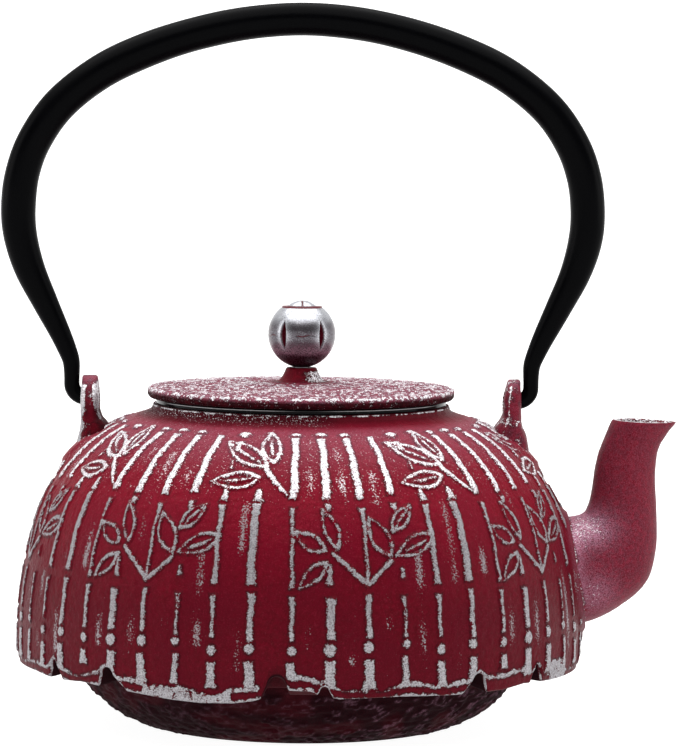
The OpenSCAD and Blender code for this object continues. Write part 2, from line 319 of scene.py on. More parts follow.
# Cane pieces: cane, low, high, width at the low end, the middle and the high end, silver (0 to 1)
CANES = [
    (0, 58.6, 82.6, 1.9, 1.9, 2.9, 1), (1, 58.4, 82.4, 2.1, 2, 3, 1), (2, 58.6, 82.6, 1.9, 1.8, 2.5, 1),
    (3, 59.8, 83.2, 1.9, 1.9, 2.2, 1), (4, 57.4, 61, 2.6, 1.6, 0.7, 1),
    (5, 57.6, 61.6, 2.9, 1.8, 0.7, 1), (4, 68.2, 71.8, 1.2, 1, 0.8, 0.7),
    (4, 76, 80.2, 1.6, 1.4, 1.8, 0.8), (5, 80.6, 83, 1.2, 1, 1.4, 0.6),
    (0, 31.8, 55.8, 1.9, 1.3, 2.4, 0.75), (1, 32.8, 38.8, 2.6, 1.6, 1, 0.7),
    (1, 54.6, 57, 1.5, 1.6, 2.4, 0.8), (2, 32.6, 55.6, 1.5, 1.2, 2.4, 0.75),
    (3, 34.4, 37.8, 2.2, 1.4, 0.8, 0.6), (3, 54.2, 57, 1.3, 1.4, 2.2, 0.75),
    (4, 32.6, 56.2, 2.4, 1.7, 2.8, 0.85), (5, 32.8, 56.8, 2.8, 2.3, 2.8, 0.95),
    (0, 17, 29.8, 1.6, 1.5, 2.2, 0.8), (1, 17.6, 29.4, 2.3, 2.2, 3, 0.95),
    (2, 18, 30.4, 1.9, 1.6, 2.2, 0.85), (3, 17.6, 29.8, 1.6, 1.1, 2.2, 0.65),
    (4, 17.4, 29.8, 1.6, 1.4, 2.4, 0.75), (5, 16.6, 30.6, 2.2, 1.7, 2.6, 0.9),
    (0, 6.6, 11, 3.4, 2.4, 2.4, 0.9), (1, 3.6, 11.6, 4.2, 2.9, 3, 0.95),
    (2, 3.4, 11.8, 4.4, 2.6, 2.8, 0.95), (3, 3.6, 12.8, 3.4, 1.8, 2.2, 0.8),
    (4, 3.2, 10.6, 3.8, 2.2, 2.6, 0.85), (5, 3.6, 11.2, 3.8, 2.6, 2.8, 0.9)]
# Round knots under the third row, and the small caps over the first: cane, height, half width,
# half height
KNOTS = [
    (0, 14.4, 1.3, 1.5), (1, 14.7, 1.75, 1.9), (2, 15.3, 1.5, 1.7), (3, 16, 1.2, 1.3), (4, 14, 1.4, 1.5),
    (5, 14.8, 1.45, 1.5), (0, 84.6, 1.5, 0.9), (1, 84.8, 1.7, 1), (2, 84.6, 1.5, 0.9), (4, 84, 1.8, 1.2),
    (5, 85, 1, 0.6)]
# Stems: points (degrees, height) with a half width
STEMS = [[(38.6, 68.6, 0.95), (41.0, 64.4, 0.75), (44.0, 59.8, 0.45)],
         [(8.4, 41.8, 0.75), (11.6, 37.6, 0.7), (15.0, 33.0, 0.8)],
         [(15.4, 33.2, 0.7), (17.6, 36.4, 0.65), (20.2, 39.6, 0.7)]]
# Leaves: base, tip, how far each edge bulges (mm), half width of the outline, and how long the
# vein is (0 for none)
LEAVES = [
    ((38.8, 69.6), (26.0, 80.0), 3.1, 3.1, 0.52, 0.78), ((37.4, 65.4), (25.9, 63.6), 3.0, 2.5, 0.52, 0.7),
    ((40.4, 71.2), (38.2, 85.6), 2.9, 2.2, 0.55, 0.6), ((6.6, 42.8), (0.6, 48.2), 2.4, 2.0, 0.42, 0.0),
    ((9.1, 43.6), (6.2, 55.2), 1.6, 2.3, 0.46, 0.0), ((6.8, 39.4), (1.4, 32.2), 1.9, 1.9, 0.5, 0.0),
    ((20.2, 41.2), (16.2, 52.6), 2.8, 2.6, 0.45, 0.0), ((21.2, 48.4), (26.2, 56.0), 2.2, 1.9, 0.46, 0.72),
    ((30.2, 46.6), (21.4, 41.2), 2.4, 2.6, 0.5, 0.6)]


FAR = -9.0                      # distance inside a stroke where there is none, in mm


class ReliefMap:
    """Two maps over the wall of the distance inside the nearest stroke, in mm, which is negative
    outside it: height for the shape, and inside, with the wear taken off, for the silver."""

    def __init__(self):
        self.inside = np.full(MAP_SHAPE, FAR)
        self.height = np.full(MAP_SHAPE, FAR)
        self.v = MAP_V0 + CELL_V * np.arange(MAP_SHAPE[0])

    def window(self, points, margin):
        """The cells round some (degrees, height) points, with local x and y in mm."""
        u, v = np.asarray(points, float).T[:2]
        scale = DEG * wall_at(v.mean())[0]
        side = margin / scale
        column = np.arange(math.floor((u.min() - side) / CELL_U), math.ceil((u.max() + side) / CELL_U))
        low = max(0, int((v.min() - margin - MAP_V0) / CELL_V))
        row = np.arange(low, min(MAP_SHAPE[0], int((v.max() + margin - MAP_V0) / CELL_V) + 1))
        x = (column * CELL_U)[None, :] * scale + 0 * row[:, None]
        y = self.v[row][:, None] + 0 * column[None, :]
        return np.ix_(row, column % MAP_SHAPE[1]), x, y, scale

    def add(self, cells, distance, silver):
        """Lays a stroke over what is there. The less silver (0 to 1), the narrower its worn line."""
        wear = WEAR * (1 - silver)
        self.inside[cells] = np.maximum(self.inside[cells], distance - wear)
        self.height[cells] = np.maximum(self.height[cells], distance)

    def stroke(self, points, silver):
        """A line through (degrees, height, half width) points, with ragged edges."""
        points = np.asarray(points, float)
        cells, x, y, scale = self.window(points, points[:, 2].max() + 1.5)
        best = np.full(x.shape, FAR)
        wobble = rng.uniform(0, 40)
        for p, q in zip(points[:-1], points[1:]):
            a, b = np.array([p[0] * scale, p[1]]), np.array([q[0] * scale, q[1]])
            along = b - a
            t = np.clip(((x - a[0]) * along[0] + (y - a[1]) * along[1]) / (along @ along), 0, 1)
            half = p[2] + (q[2] - p[2]) * t
            best = np.maximum(best, half - np.hypot(x - a[0] - t * along[0], y - a[1] - t * along[1]))
        ragged = 0.1 * np.sin(2.3 * y + wobble + 1.7 * np.sin(0.9 * y + wobble))
        ragged += 0.06 * np.sin(3.1 * x + 2 * wobble)
        self.add(cells, best + ragged, silver)

    def cane(self, u, low, high, widths, silver):
        """An upright cane piece, square at its ends, widest where it flares to a joint."""
        cells, x, y, scale = self.window([(u, low), (u, high)], max(widths) / 2 + 2)
        t = np.clip((y - low) / (high - low), 0, 1)
        flare = np.exp(-(y - low) / FLARE_LENGTH) * (widths[0] - widths[1])
        flare += np.exp(-(high - y) / FLARE_LENGTH) * (widths[2] - widths[1])
        lean, wave = rng.uniform(-0.25, 0.25), rng.uniform(0, 40)
        middle = u * scale + lean * (t - 0.5) + 0.14 * np.sin(0.55 * y + wave)
        ragged = 0.09 * np.sin(2.1 * y + wave + np.sin(5.3 * y)) + 0.07 * np.sin(3.7 * y + 2 * wave)
        side = (widths[1] + np.clip(flare, -2, 3)) / 2 + ragged - np.abs(x - middle)
        end = np.minimum(y - low, high - y) + 0.12 * np.sin(2.9 * x + wave)
        self.add(cells, np.minimum(side, end), silver + rng.uniform(-0.12, 0.06))

    def blob(self, u, v, half_w, half_h, silver):
        """A round knot."""
        cells, x, y, scale = self.window([(u, v)], max(half_w, half_h) + 1.2)
        far = np.hypot((x - u * scale) / half_w, (y - v) / half_h)
        self.add(cells, (1 - far) * min(half_w, half_h) + 0.08 * np.sin(4 * x + 3 * y), silver)

    def leaf(self, base, tip, bulge_left, bulge_right, half, vein):
        """The outline of a leaf, two bowed strokes, and a vein part of the way up."""
        scale = DEG * wall_at((base[1] + tip[1]) / 2)[0]
        a, b = np.array([base[0] * scale, base[1]]), np.array([tip[0] * scale, tip[1]])
        along = b - a
        across = np.array([-along[1], along[0]]) / np.hypot(*along)
        t = np.linspace(0, 1, LEAF_POINTS)[:, None]

        def line(points, width, silver):
            self.stroke(np.column_stack([points[:, 0] / scale, points[:, 1], width]), silver)

        for bulge in (bulge_left, -bulge_right):
            points = a + t * along + np.sin(np.pi * t**0.85) * bulge * across
            width = half * (1.3 - 0.38 * t) * rng.uniform(0.9, 1.12)
            line(points, width, rng.uniform(0.7, 0.95))
        if vein:
            swing = np.sin(np.pi * t)
            points = a + (0.16 + vein * t) * along + 0.12 * bulge_left * across * swing
            line(points, 0.36 + 0.25 * swing, 0.7)

    def panel(self, first):
        """One panel of canes with its two sprays of leaves. first is its first cane's azimuth."""
        for cane, low, high, *widths, silver in CANES:
            u = first + cane * PITCH + rng.uniform(-0.12, 0.12)
            self.cane(u, low, high, widths, silver)
        for cane, v, half_w, half_h in KNOTS:
            self.blob(first + cane * PITCH + rng.uniform(-0.1, 0.1), v, half_w, half_h, 0.9)
        for stem in STEMS:
            self.stroke([(first + u, v, half) for u, v, half in stem], 0.85)
        for base, tip, *shape in LEAVES:
            self.leaf((first + base[0], base[1]), (first + tip[0], tip[1]), *shape)

    def sample(self, layer, u, v):
        """A map's value at azimuths u and arc lengths v, between cells."""
        column = u / CELL_U
        row = np.clip((v - MAP_V0) / CELL_V, 0, MAP_SHAPE[0] - 1.001)
        c0, r0 = np.floor(column).astype(int), np.floor(row).astype(int)
        fc, fr = column - c0, row - r0
        c0, c1 = c0 % MAP_SHAPE[1], (c0 + 1) % MAP_SHAPE[1]
        low, high = (layer[r, c0] * (1 - fc) + layer[r, c1] * fc for r in (r0, r0 + 1))
        return low * (1 - fr) + high * fr


def placed(pattern_u):
    """The azimuth on the pot of an azimuth in the even pattern."""
    even, on_pot = ([-180, -wide, wide, 180, 540 - wide] for wide in FRONT_STRETCH)
    return float(np.interp(pattern_u, even, on_pot))


def draw_relief():
    """The maps of the whole wall, one panel after another from the far left."""
    relief = ReliefMap()
    for k in range(PANELS):
        relief.panel(FIRST_CANE + placed(k * PANEL_CANES * PITCH + FIRST_PANEL))
    return relief


# Faint rows of silver specks between the canes: place in pitches from the first cane, low, high,
# strength
GHOSTS = [(0.5, 59, 82, 0.3), (1.5, 44, 80, 0.45), (2.5, 56, 68, 0.45), (3.5, 8, 42, 0.8),
          (4.6, 8, 57, 0.8), (5.6, 34, 49, 0.9), (1.55, 10, 26, 0.7), (0.45, 12, 30, 0.7),
          (2.55, 20, 34, 0.7)]
GHOST_HALF = 1.05               # degrees


def sooty(u):
    """1 on the part of the neck that is dark, from the far left round to the front."""
    return between(-110, 12, signed(u), 8)


def speck_density(u, v, points):
    """How thickly silver specks lie on the wall, 0 to 1."""
    local = (u - FIRST_CANE) / PITCH % PANEL_CANES
    total = 0.22 + (0.05 + 0.3 * sooty(u)) * smooth(84, 93, v)
    total = total + 0.3 * smooth(48, 66, v) * smooth(91, 84, v)
    patchy = np.clip(0.5 + 0.8 * noise3(points, 9, 3), 0, 1.2)
    for place, low, high, strength in GHOSTS:
        across = np.exp(-((local - place) * PITCH / GHOST_HALF) ** 2)
        total = total + strength * patchy * across * between(low, high, v)
    return total


# Roots on the wall: height up it, half width, half height
SPOUT_ROOT, LUG_ROOT = (28.5, 15.4, 17.6), (69.5, 9.5, 6.5)


def swell_round(x, y, half, height, reach):
    """A swelling that is highest inside an ellipse with the halves given, and runs out over reach."""
    outside = (np.hypot(x / half[0], y / half[1]) - 1) * min(half)
    return height * (1 - np.clip(outside, 0, reach) / reach) ** 2


def fillet(u, v):
    """How far the wall swells out to meet the roots of the spout and the lugs, in mm."""
    r = wall_at(v)[0]
    spout = swell_round(signed(u - 90) * DEG * r, v - SPOUT_ROOT[0], SPOUT_ROOT[1:], 1.7, 4.5)
    lugs = swell_round(np.abs((u + 180) % 180 - 90) * DEG * r, v - LUG_ROOT[0], LUG_ROOT[1:], 1.5, 5)
    return spout + lugs


# ---------------------------------------------------------------- body casting

BARE = -3.0                         # a value of silver that leaves none
COLUMNS, BOWL_COLUMNS = 1280, 640
ROW_STEP = 0.42
HEM_ROWS, HEM_BLEND = 36, 15.0      # rows that follow the ragged edge, and where they level out
RIDGE_UP = 2.9                      # height of the line above the edge of the hem
BOWL_CENTER, BOWL_R, BOWL_END = (38.0, 32.0), 32.7, -20.0
BOWL_STEPS = 62
FOOT_R = 45.8
# The underside of the hem, from the bowl out: where its rings are, and its r and z
UNDERSIDE_RINGS = (69.6, 71, 72.2, 73.2, 74.2, 75.2, 76.4, 78, 80, 81.8, 83.0)
UNDERSIDE_R, UNDERSIDE_Z = (68.7, 81.8, 83), (20.8, 18.6, 18.5)
# The neck: r, z, and how much silver it keeps
NECK = [(45.1, 93.75, BARE), (44.8, 94.15, BARE), (44.68, 94.6, BARE), (44.6, 95.0, -0.8),
        (44.54, 95.2, -0.05), (44.42, 95.42, 0.05), (44.1, 95.56, -0.8), (43.0, 95.6, BARE),
        (43.0, 96.8, BARE)]
FLOOR_Z = 4.2
LEDGE = [(72.0, 25.6), (79.0, 29.6)]
MOUTH_R, SEAT_R, SEAT_Z, RIM_R, RIM_Z = 39.4, 41.6, 95.0, 43.0, 96.8
ENAMEL = 0.4
HOLLOW_COLUMNS, HOLLOW_STEPS = 320, 12


def hem_values(u, v, edge, plain, along, ragged):
    """Relief and silver of the hem's double line. edge and plain are its lower edge with and
    without notches, along is slow noise round the pot, and ragged is fine noise."""
    gap = between(-6.4, -1.9, u, 0.6)
    bare, patch, band = between(41, 54, u), between(60.5, 69, u, 0.8), between(-32, -12, u)
    ridge = np.maximum(plain + RIDGE_UP + 0.7 * along + 0.9 * bare, edge + 0.7)
    kernel = np.hanning(15)
    ridge = np.convolve(np.r_[ridge[-7:], ridge, ridge[:7]], kernel / kernel.sum(), "valid")
    line = 0.46 + 0.12 * along - np.abs(v - ridge)
    rim = 0.6 + 0.35 * along - (v - edge - 0.1)
    filled = np.minimum(v - edge + 1, ridge - v + 0.6) - 0.25 - 9 * (1 - band)
    block = np.minimum(v - edge + 0.6, 6.6 - v) - 0.2 - 9 * (1 - patch)
    bevel = smooth(0.3, 0.8, v - edge) * smooth(0.2, 0.9, ridge - v)
    height = 0.5 * smooth(-0.5, 0.4, line) - 0.25 * bevel * (1 - band)
    silver = np.max([line + 0.12 * along, rim - 0.25 - 2 * bare, filled, block], axis=0)
    return height * (1 - gap), np.minimum(silver, 0.45) + 0.3 * ragged - 0.08 - 3 * gap


def body_wall_row(relief, u, v):
    """Points and surface values of one row of the outer wall. v is a number for each azimuth."""
    edge, plain = (height - HEM_Z for height in hem_edge(u))
    above = v - edge
    r, z, slope = wall_at(v)
    azimuth = np.radians(u)
    flat = polar(r, azimuth, z)
    swell = fillet(u, v)
    plainness = smooth(0.25, 1.1, swell)
    clear = smooth(0.2, 1.6, above) * (1 - plainness)
    raised = RELIEF * smooth(-0.42, 0.4, relief.sample(relief.height, u, v)) * clear
    silver = relief.sample(relief.inside, u, v)
    if v.min() < HEM_BLEND:
        along = noise3(flat * (1, 1, 0), 8, 5)
        hem_height, hem_silver = hem_values(signed(u), v, edge, plain, along, noise3(flat, 1.1, 14))
        raised = np.maximum(raised, hem_height)
        silver = np.maximum(np.where(clear > 0.5, silver, FAR), hem_silver)
    grain = 0.05 * noise3(flat, 1.3, 1) + 0.04 * noise3(flat, 0.75, 2) + 0.1 * noise3(flat, 14, 4)
    out = raised - GROUND + grain + swell
    points = flat + polar(np.cos(slope) * out, azimuth, np.sin(slope) * out)
    # Painted sheen high on the wall, where the top light falls, and lighter frost round the roots of the
    # spout and lugs.
    frost = 0.2 * smooth(62, 84, v) * smooth(92, 86, v) + 0.14 * smooth(0.2, 1.4, swell) * smooth(60, 50, v)
    # Painted shade: the wall darkens towards the base, and at the top under the lid, most on the dark side
    # of the neck.
    soot = 0.5 * smooth(66, 20, v) + (0.3 + 0.35 * sooty(u)) * smooth(87, 93, v)
    # Painted shade inside the notches of the hem at the front.
    notch_soot = 0.72 * smooth(9, 0, above) + 0.28 * smooth(1, 0.3, above)
    soot = np.maximum(soot, between(-8, 1, signed(u), 2.5) * notch_soot)
    # Painted shade on the silver: it is painted greyer low on the wall.
    dull = smooth(62, 54, v) * (1 - 0.15 * smooth(30, 15, v))
    return points, {"silver": np.where(plainness > 0.5, BARE, silver), "frost": frost, "soot": soot,
                    "dull": dull, "speck": speck_density(u, v, flat)}


def bowl_ring(r, z, length, depth):
    """A ring of the bowl with its pebbled skin. length is its distance along the bowl."""
    points = ring_at(r, z, BOWL_COLUMNS)
    wrapped = ring_at(34, 0.8 * length, BOWL_COLUMNS) * (1, -1, 1)
    pebble = noise3(wrapped, 1.25, 8) + 0.5 * noise3(points, 2.2, 9)
    out = depth * (pebble - 0.8)
    toward = points - (0, 0, BOWL_CENTER[1] + 20)
    toward /= np.linalg.norm(toward, axis=1)[:, None]
    return points + toward * out[:, None], pebble


def body_solid():
    """The pot without its hollow: foot, bowl, underside of the hem, wall and neck."""
    relief = draw_relief()
    skin = Skin()
    # The foot, painted dark all over as painted shade.
    for r, count in ((9, 160), (26, 320), (44.6, BOWL_COLUMNS)):
        skin.ring(ring_at(r, 0.0, count), silver=BARE, speck=0, soot=1)
    start = -math.degrees(math.acos((FOOT_R + 0.3 - BOWL_CENTER[0]) / BOWL_R))
    bowl = arc(BOWL_CENTER, BOWL_R, start, BOWL_END, BOWL_STEPS)
    step = math.hypot(*(bowl[1] - bowl[0]))
    for k, (r, z) in enumerate(bowl):
        points, pebble = bowl_ring(r, z, k * step, 0.3 * smooth(0, 3, k))
        # Painted highlights on the crests of the pebbling, stronger on the side towards +x.
        crescents = np.exp(-((pebble - 0.75) / 0.17) ** 2)
        frost = 0.24 * crescents * (0.3 + 0.7 * smooth(-0.2, 0.5, points[:, 0] / r))
        # Painted shade: the bowl, facing down, is painted near black.
        soot = 1 - 0.1 * smooth(0, 0.9, noise3(points, 7, 10))
        skin.ring(points, silver=BARE, speck=0, soot=soot, frost=frost)
    u = np.arange(COLUMNS) * 360 / COLUMNS
    edge, plain = hem_edge(u)
    for r in UNDERSIDE_RINGS:
        z = np.interp(r, UNDERSIDE_R, UNDERSIDE_Z) + (plain - UNDERSIDE_Z[-1]) * smooth(78, 83, r)
        z = z + (edge - plain) * smooth(72, 76.4, r)
        # Painted shade under the hem, a little lighter at the front.
        soot = 1 - 0.18 * between(-8, 8, signed(u))
        skin.ring(ring_at(r, z, COLUMNS), silver=BARE, speck=0.05, soot=soot)
    for drop, inset in ((0.12, 0.9), (0.0, 0.45), (0.3, 0.1)):
        points, values = body_wall_row(relief, u, edge - HEM_Z + drop)
        points[:, :2] *= 1 - inset / HEM_R
        skin.ring(points, **values)
    low = edge - HEM_Z + 0.3
    levels = [low + (HEM_BLEND - low) * (k / HEM_ROWS) for k in range(1, HEM_ROWS)]
    rows = int((WALL_TOP - HEM_BLEND) / ROW_STEP)
    levels += [np.full(COLUMNS, v) for v in np.linspace(HEM_BLEND, WALL_TOP, rows)]
    for v in levels:
        points, values = body_wall_row(relief, u, v)
        skin.ring(points, **values)
    for r, z, silver in NECK:
        points = ring_at(r, z, COLUMNS)
        wave = noise3(points * (1, 1, 0), 1.6, 6) + 0.6 * noise3(points * (1, 1, 0), 5, 7)
        points[:, :2] *= 1 - (r > RIM_R) * 0.0016 * (1 + 0.6 * wave)[:, None]
        # Painted shade on the neck under the lid, darker on the dark side.
        dark = sooty(u)
        skin.ring(points, silver=silver + 0.3 * wave, speck=0.2 + 0.5 * dark, soot=0.5 + 0.25 * dark)
    for r, count in ((36, 640), (18, 320)):
        skin.ring(ring_at(r, RIM_Z, count), silver=BARE, speck=0, soot=0)
    skin.cap((0, 0, RIM_Z))
    skin.cap((0, 0, 0), first=True)
    return skin.piece("body")


def hollow(coat):
    """The outline of the hollow, from the floor's middle up to the seat, with enamel this thick."""
    inset = WALL + coat
    bowl_r = BOWL_R - inset
    floor = arc(BOWL_CENTER, bowl_r, -math.degrees(math.acos(8.6 / bowl_r)), BOWL_END - 2, HOLLOW_STEPS)
    side = arc(SIDE_CENTER, SIDE_R - inset, 2.4, SIDE_END, HOLLOW_STEPS)
    shoulder = arc(SHOULDER_CENTER, SHOULDER_R - inset, SIDE_END, SHOULDER_END, HOLLOW_STEPS)[1:]
    end = math.degrees(math.acos((MOUTH_R + WALL - inset - TOP_CENTER[0]) / (TOP_R - inset)))
    top = arc(TOP_CENTER, TOP_R - inset, SHOULDER_END, end, HOLLOW_STEPS)[1:]
    ledge = np.array(LEDGE) + (-0.6 * coat, coat)
    seat = [(MOUTH_R - coat, SEAT_Z + coat), (SEAT_R - coat, SEAT_Z + coat)]
    return np.concatenate([floor, ledge, side, shoulder, top, seat])


def cavity_cutter():
    """A cutter for the hollow, which runs out past the rim."""
    skin = Skin()
    for r, z in np.vstack([hollow(-0.03), [(SEAT_R + 0.03, RIM_Z + 2)]]):
        skin.ring(ring_at(r, z, HOLLOW_COLUMNS))
    skin.cap((0, 0, RIM_Z + 2))
    skin.cap((0, 0, FLOOR_Z - 0.03), first=True)
    return skin.piece("cavity")


# Spout stations: inner edge (x, z), outer edge (x, z), half width across, beak
SPOUT = [((58, 63), (60, 28.4), 15.5, 0), ((71, 63), (78, 29), 15.5, 0), ((80, 62.4), (89.2, 31.7), 15, 0),
         ((84.8, 63.6), (98.4, 37), 13.8, 0), ((86.4, 66.4), (104.6, 43.6), 12.2, 0),
         ((87.4, 70.8), (107, 53), 10.8, 0.05), ((88.2, 76.4), (107.1, 64), 9.6, 0.1),
         ((89.2, 81.6), (106.5, 75), 8.8, 0.15), ((90.6, 85.8), (107.3, 82.6), 8.4, 0.2),
         ((92, 89.2), (110, 87.8), 8.4, 0.26), ((93.2, 91.9), (112.8, 91.2), 8.6, 0.3)]
SPOUT_WALL, SPOUT_LIP = 2.9, 1.9
SPOUT_SIDES, CHANNEL_SIDES = 120, 72


def spout_ring(row, inset, sides):
    """A ring of the spout. row is a station as six numbers."""
    inner, outer, half_w, beak = row[0:2], row[2:4], row[4], row[5]
    a = around(sides)
    half = (outer - inner) / 2
    middle = (inner + outer) / 2
    reach = np.cos(a) * (1 - inset / np.hypot(*half))
    across = (half_w - inset) * np.sin(a) * (1 - beak * np.clip(np.cos(a), 0, None))
    return np.stack([middle[0] + half[0] * reach, across, middle[1] + half[1] * reach], 1)


def spout_rows(steps):
    """The stations and the rows between them, each as six numbers."""
    flat = [(*inner, *outer, half_w, beak) for inner, outer, half_w, beak in SPOUT]
    return curve_through(flat, steps)


def spout_solid():
    """The spout as a solid, from inside the wall to its cut mouth."""
    rows = spout_rows(7)
    skin = Skin()
    last = len(rows) - 1
    for k, row in enumerate(rows):
        edge = max(0, k - last + 2) * 0.12
        points = spout_ring(row, edge, SPOUT_SIDES)
        grain = 0.05 * noise3(points, 1.3, 1) + 0.09 * noise3(points, 11, 12)
        center = points.mean(0)
        away = (points - center) / np.linalg.norm(points - center, axis=1)[:, None]
        points = points + away * (grain - 0.08)[:, None]
        x, z = points[:, 0], points[:, 2]
        saddle = np.exp(-((x - 86) / 7) ** 2 - ((z - 60) / 5) ** 2)
        root = np.exp(-((x - 81.5) / 3.2) ** 2) * smooth(64, 56, z)
        low = np.exp(-((x - 88) / 6) ** 2 - ((z - 41) / 6) ** 2)
        # Lighter frost and painted sheen in patches at the saddle, the root and the lower side of the spout.
        skin.ring(points, silver=-0.6 + 0.36 * saddle,
                  speck=0.05 + 0.8 * saddle + 0.3 * root + 0.55 * low,
                  frost=0.1 + 0.95 * saddle + 0.6 * root + 0.45 * low)
    beak = 1.6 * smooth(0.55, 0.8, np.cos(around(SPOUT_SIDES)))
    for inset in (0.5, 2.4):
        skin.ring(spout_ring(rows[-1], inset, SPOUT_SIDES), silver=3 - 2.5 * beak, speck=0)
    skin.cap(skin.points[-1].mean(0))
    skin.cap(skin.points[0].mean(0), first=True)
    return skin.piece("spout")


def spout_channel():
    """A cutter for the way through the spout, which runs out past its mouth."""
    rows = spout_rows(4)
    skin = Skin()
    last = len(rows) - 1
    for k, row in enumerate(rows):
        inset = SPOUT_WALL + (SPOUT_LIP - SPOUT_WALL) * smooth(last - 14, last - 1, k)
        skin.ring(spout_ring(row, inset - 0.35 * (k == last), CHANNEL_SIDES))
    skin.ring(skin.points[-1] + (0.4, 0, 3))
    skin.cap(skin.points[-1].mean(0))
    skin.cap(skin.points[0].mean(0), first=True)
    return skin.piece("channel")


PIVOT_Z = 96.9
LUG_BORE, LUG_TOP_R = 3.4, 6.7
LUG_X = (60.3, 66.0)
# Faces of the lugs at these heights. Key 1 is the lug by the spout and -1 the other.
LUG_Z = [74, 81, 86.6, 87.6, 89.4, 91, 93, 97.5, 103.6]
LUG_INNER = {1: [55, 56.1, 57, 57.2, 58, 59.4, 60.3, 60.35, 61.8],
             -1: [55, 56.1, 57, 57.2, 58, 59.4, 60.3, 60.3, 61]}
LUG_OUTER = {1: [69.4, 68.6, 67.6, 67.2, 66.4, 66, 66, 66, 65.7],
             -1: [69, 67.6, 66.4, 66.1, 66, 66, 66, 66, 65.7]}
LUG_SQUARE = 3.4            # how square the plate's section is: 2 would be an ellipse
LUG_SIDES, BORE_SIDES = 120, 64


def lug_wear(side, c, s, z):
    """Silver left on a lug, at angles with cosine c and sine s round it and at a height z."""
    front = smooth(0.15, 0.5, -s)
    if side > 0:
        crest = np.exp(-((c + 0.36) / 0.07) ** 2) * smooth(102.6, 101, z)
        return front * np.maximum(0.7 * crest, 0.35 * smooth(0.8, 0.95, c) * smooth(97, 94, z))
    down = smooth(98, 86, z)
    flanks = smooth(0.28 + 0.3 * down, 0.52 + 0.3 * down, np.abs(c)) * smooth(102, 100, z)
    flanks = flanks * (1 - 0.5 * down) * (1 - smooth(0, 0.3, c) * smooth(95, 89, z))
    return front * (flanks + 0.5 * smooth(-0.6, -0.85, c) * smooth(98, 94, z))


def lug_solid(side):
    """A lug, an upright plate with rounded edges. side is 1 by the spout and -1 opposite."""
    skin = Skin()
    c, s = np.cos(around(LUG_SIDES)), np.sin(around(LUG_SIDES))
    square = (np.abs(c) ** LUG_SQUARE + np.abs(s) ** LUG_SQUARE) ** (-1 / LUG_SQUARE)
    crown = PIVOT_Z + LUG_TOP_R * np.sin(np.radians(np.linspace(10, 88, 40)))
    for z in np.concatenate([np.linspace(LUG_Z[0], 98, 80), crown]):
        half_y = LUG_TOP_R + (PIVOT_Z - z) * 0.188
        if z > PIVOT_Z:
            half_y = math.sqrt(LUG_TOP_R**2 - (z - PIVOT_Z) ** 2)
        inner, outer = (np.interp(z, LUG_Z, face[side]) for face in (LUG_INNER, LUG_OUTER))
        half_x = (outer - inner) / 2 - 0.8 * (1 - math.sqrt(1 - (max(0, z - 102.7) / 0.9) ** 2))
        x = side * (inner + outer) / 2 + half_x * c * square
        points = np.stack([x, half_y * s * square, np.full(LUG_SIDES, z)], 1)
        grain = 0.07 * noise3(points, 1.6, 21) + 0.08 * noise3(points, 6, 22) - 0.08
        points += grain[:, None] * np.stack([c, s, 0 * c], 1)
        wear = lug_wear(side, c, s, z) + 0.3 * noise3(points, 2.4, 23)
        # Painted shade darkens the lower part of the lug opposite the spout and greys its silver; the tops
        # of the lugs get a painted sheen.
        low = smooth(100, 93, z) * (side < 0)
        skin.ring(points, silver=wear - 0.42, speck=0.25 + 0.5 * wear,
                  frost=0.2 * smooth(100, 103, z) + 0.1 * (1 - low), dull=0.85 * low,
                  soot=low * (0.4 + 0.35 * smooth(0.1, 0.7, c)))
    skin.cap((side * sum(LUG_X) / 2, 0, PIVOT_Z + LUG_TOP_R))
    skin.cap((side * 62, 0, LUG_Z[0]), first=True)
    return skin.piece("lug")


def bore_cutter():
    """A long pin across the pot that cuts both lugs."""
    a = around(BORE_SIDES)
    skin = Skin()
    for x in (-80, 80):
        skin.ring(np.stack([0 * a + x, LUG_BORE * np.cos(a), PIVOT_Z + LUG_BORE * np.sin(a)], 1))
    skin.cap((80, 0, PIVOT_Z))
    skin.cap((-80, 0, PIVOT_Z), first=True)
    return skin.piece("bores")


def body_casting():
    """The pot with its spout and lugs, hollow through to the spout's mouth."""
    body = body_solid()
    apply_boolean(body, "UNION", [spout_solid(), lug_solid(1), lug_solid(-1)])
    apply_boolean(body, "DIFFERENCE", [cavity_cutter(), spout_channel(), bore_cutter()])
    return body


# ---------------------------------------------------------------- enamel lining

def enamel_lining():
    """The black skin inside the pot and over the mouth's rim, with a painted highlight line round it."""
    coat = hollow(ENAMEL)
    top, outer = RIM_Z + ENAMEL, RIM_R + ENAMEL
    lip = [(SEAT_R, RIM_Z), (RIM_R + 0.02, RIM_Z), (RIM_R + 0.02, 95.62), (RIM_R + 0.32, 95.64)]
    lip += [(outer, z) for z in (95.8, 96.54, 96.64, 96.72, 96.82, top - 0.22)]
    lip += [(RIM_R + 0.33, top - 0.07), (RIM_R + 0.18, top), (SEAT_R - 0.2, top),
            (SEAT_R - 0.36, top - 0.08), (SEAT_R - ENAMEL, top - 0.25)]
    skin = Skin()
    u = signed(np.arange(HOLLOW_COLUMNS) * 360 / HOLLOW_COLUMNS)
    # A painted highlight line round the front half of the lip, faint at the very front.
    line = between(-64, 64, u, 8) * (0.6 - 0.57 * between(-8, 14, u, 9))
    for r, z in np.vstack([hollow(0), lip, coat[::-1]]):
        rubbed = (r > RIM_R + 0.35) * between(96.6, 96.76, z, 0.04) * line
        skin.ring(ring_at(r, z, HOLLOW_COLUMNS), rubbed=rubbed)
    skin.cap((0, 0, FLOOR_Z + ENAMEL))
    skin.cap((0, 0, FLOOR_Z), first=True)
    lining = skin.piece("lining")
    apply_boolean(lining, "DIFFERENCE", [spout_channel()])
    return lining


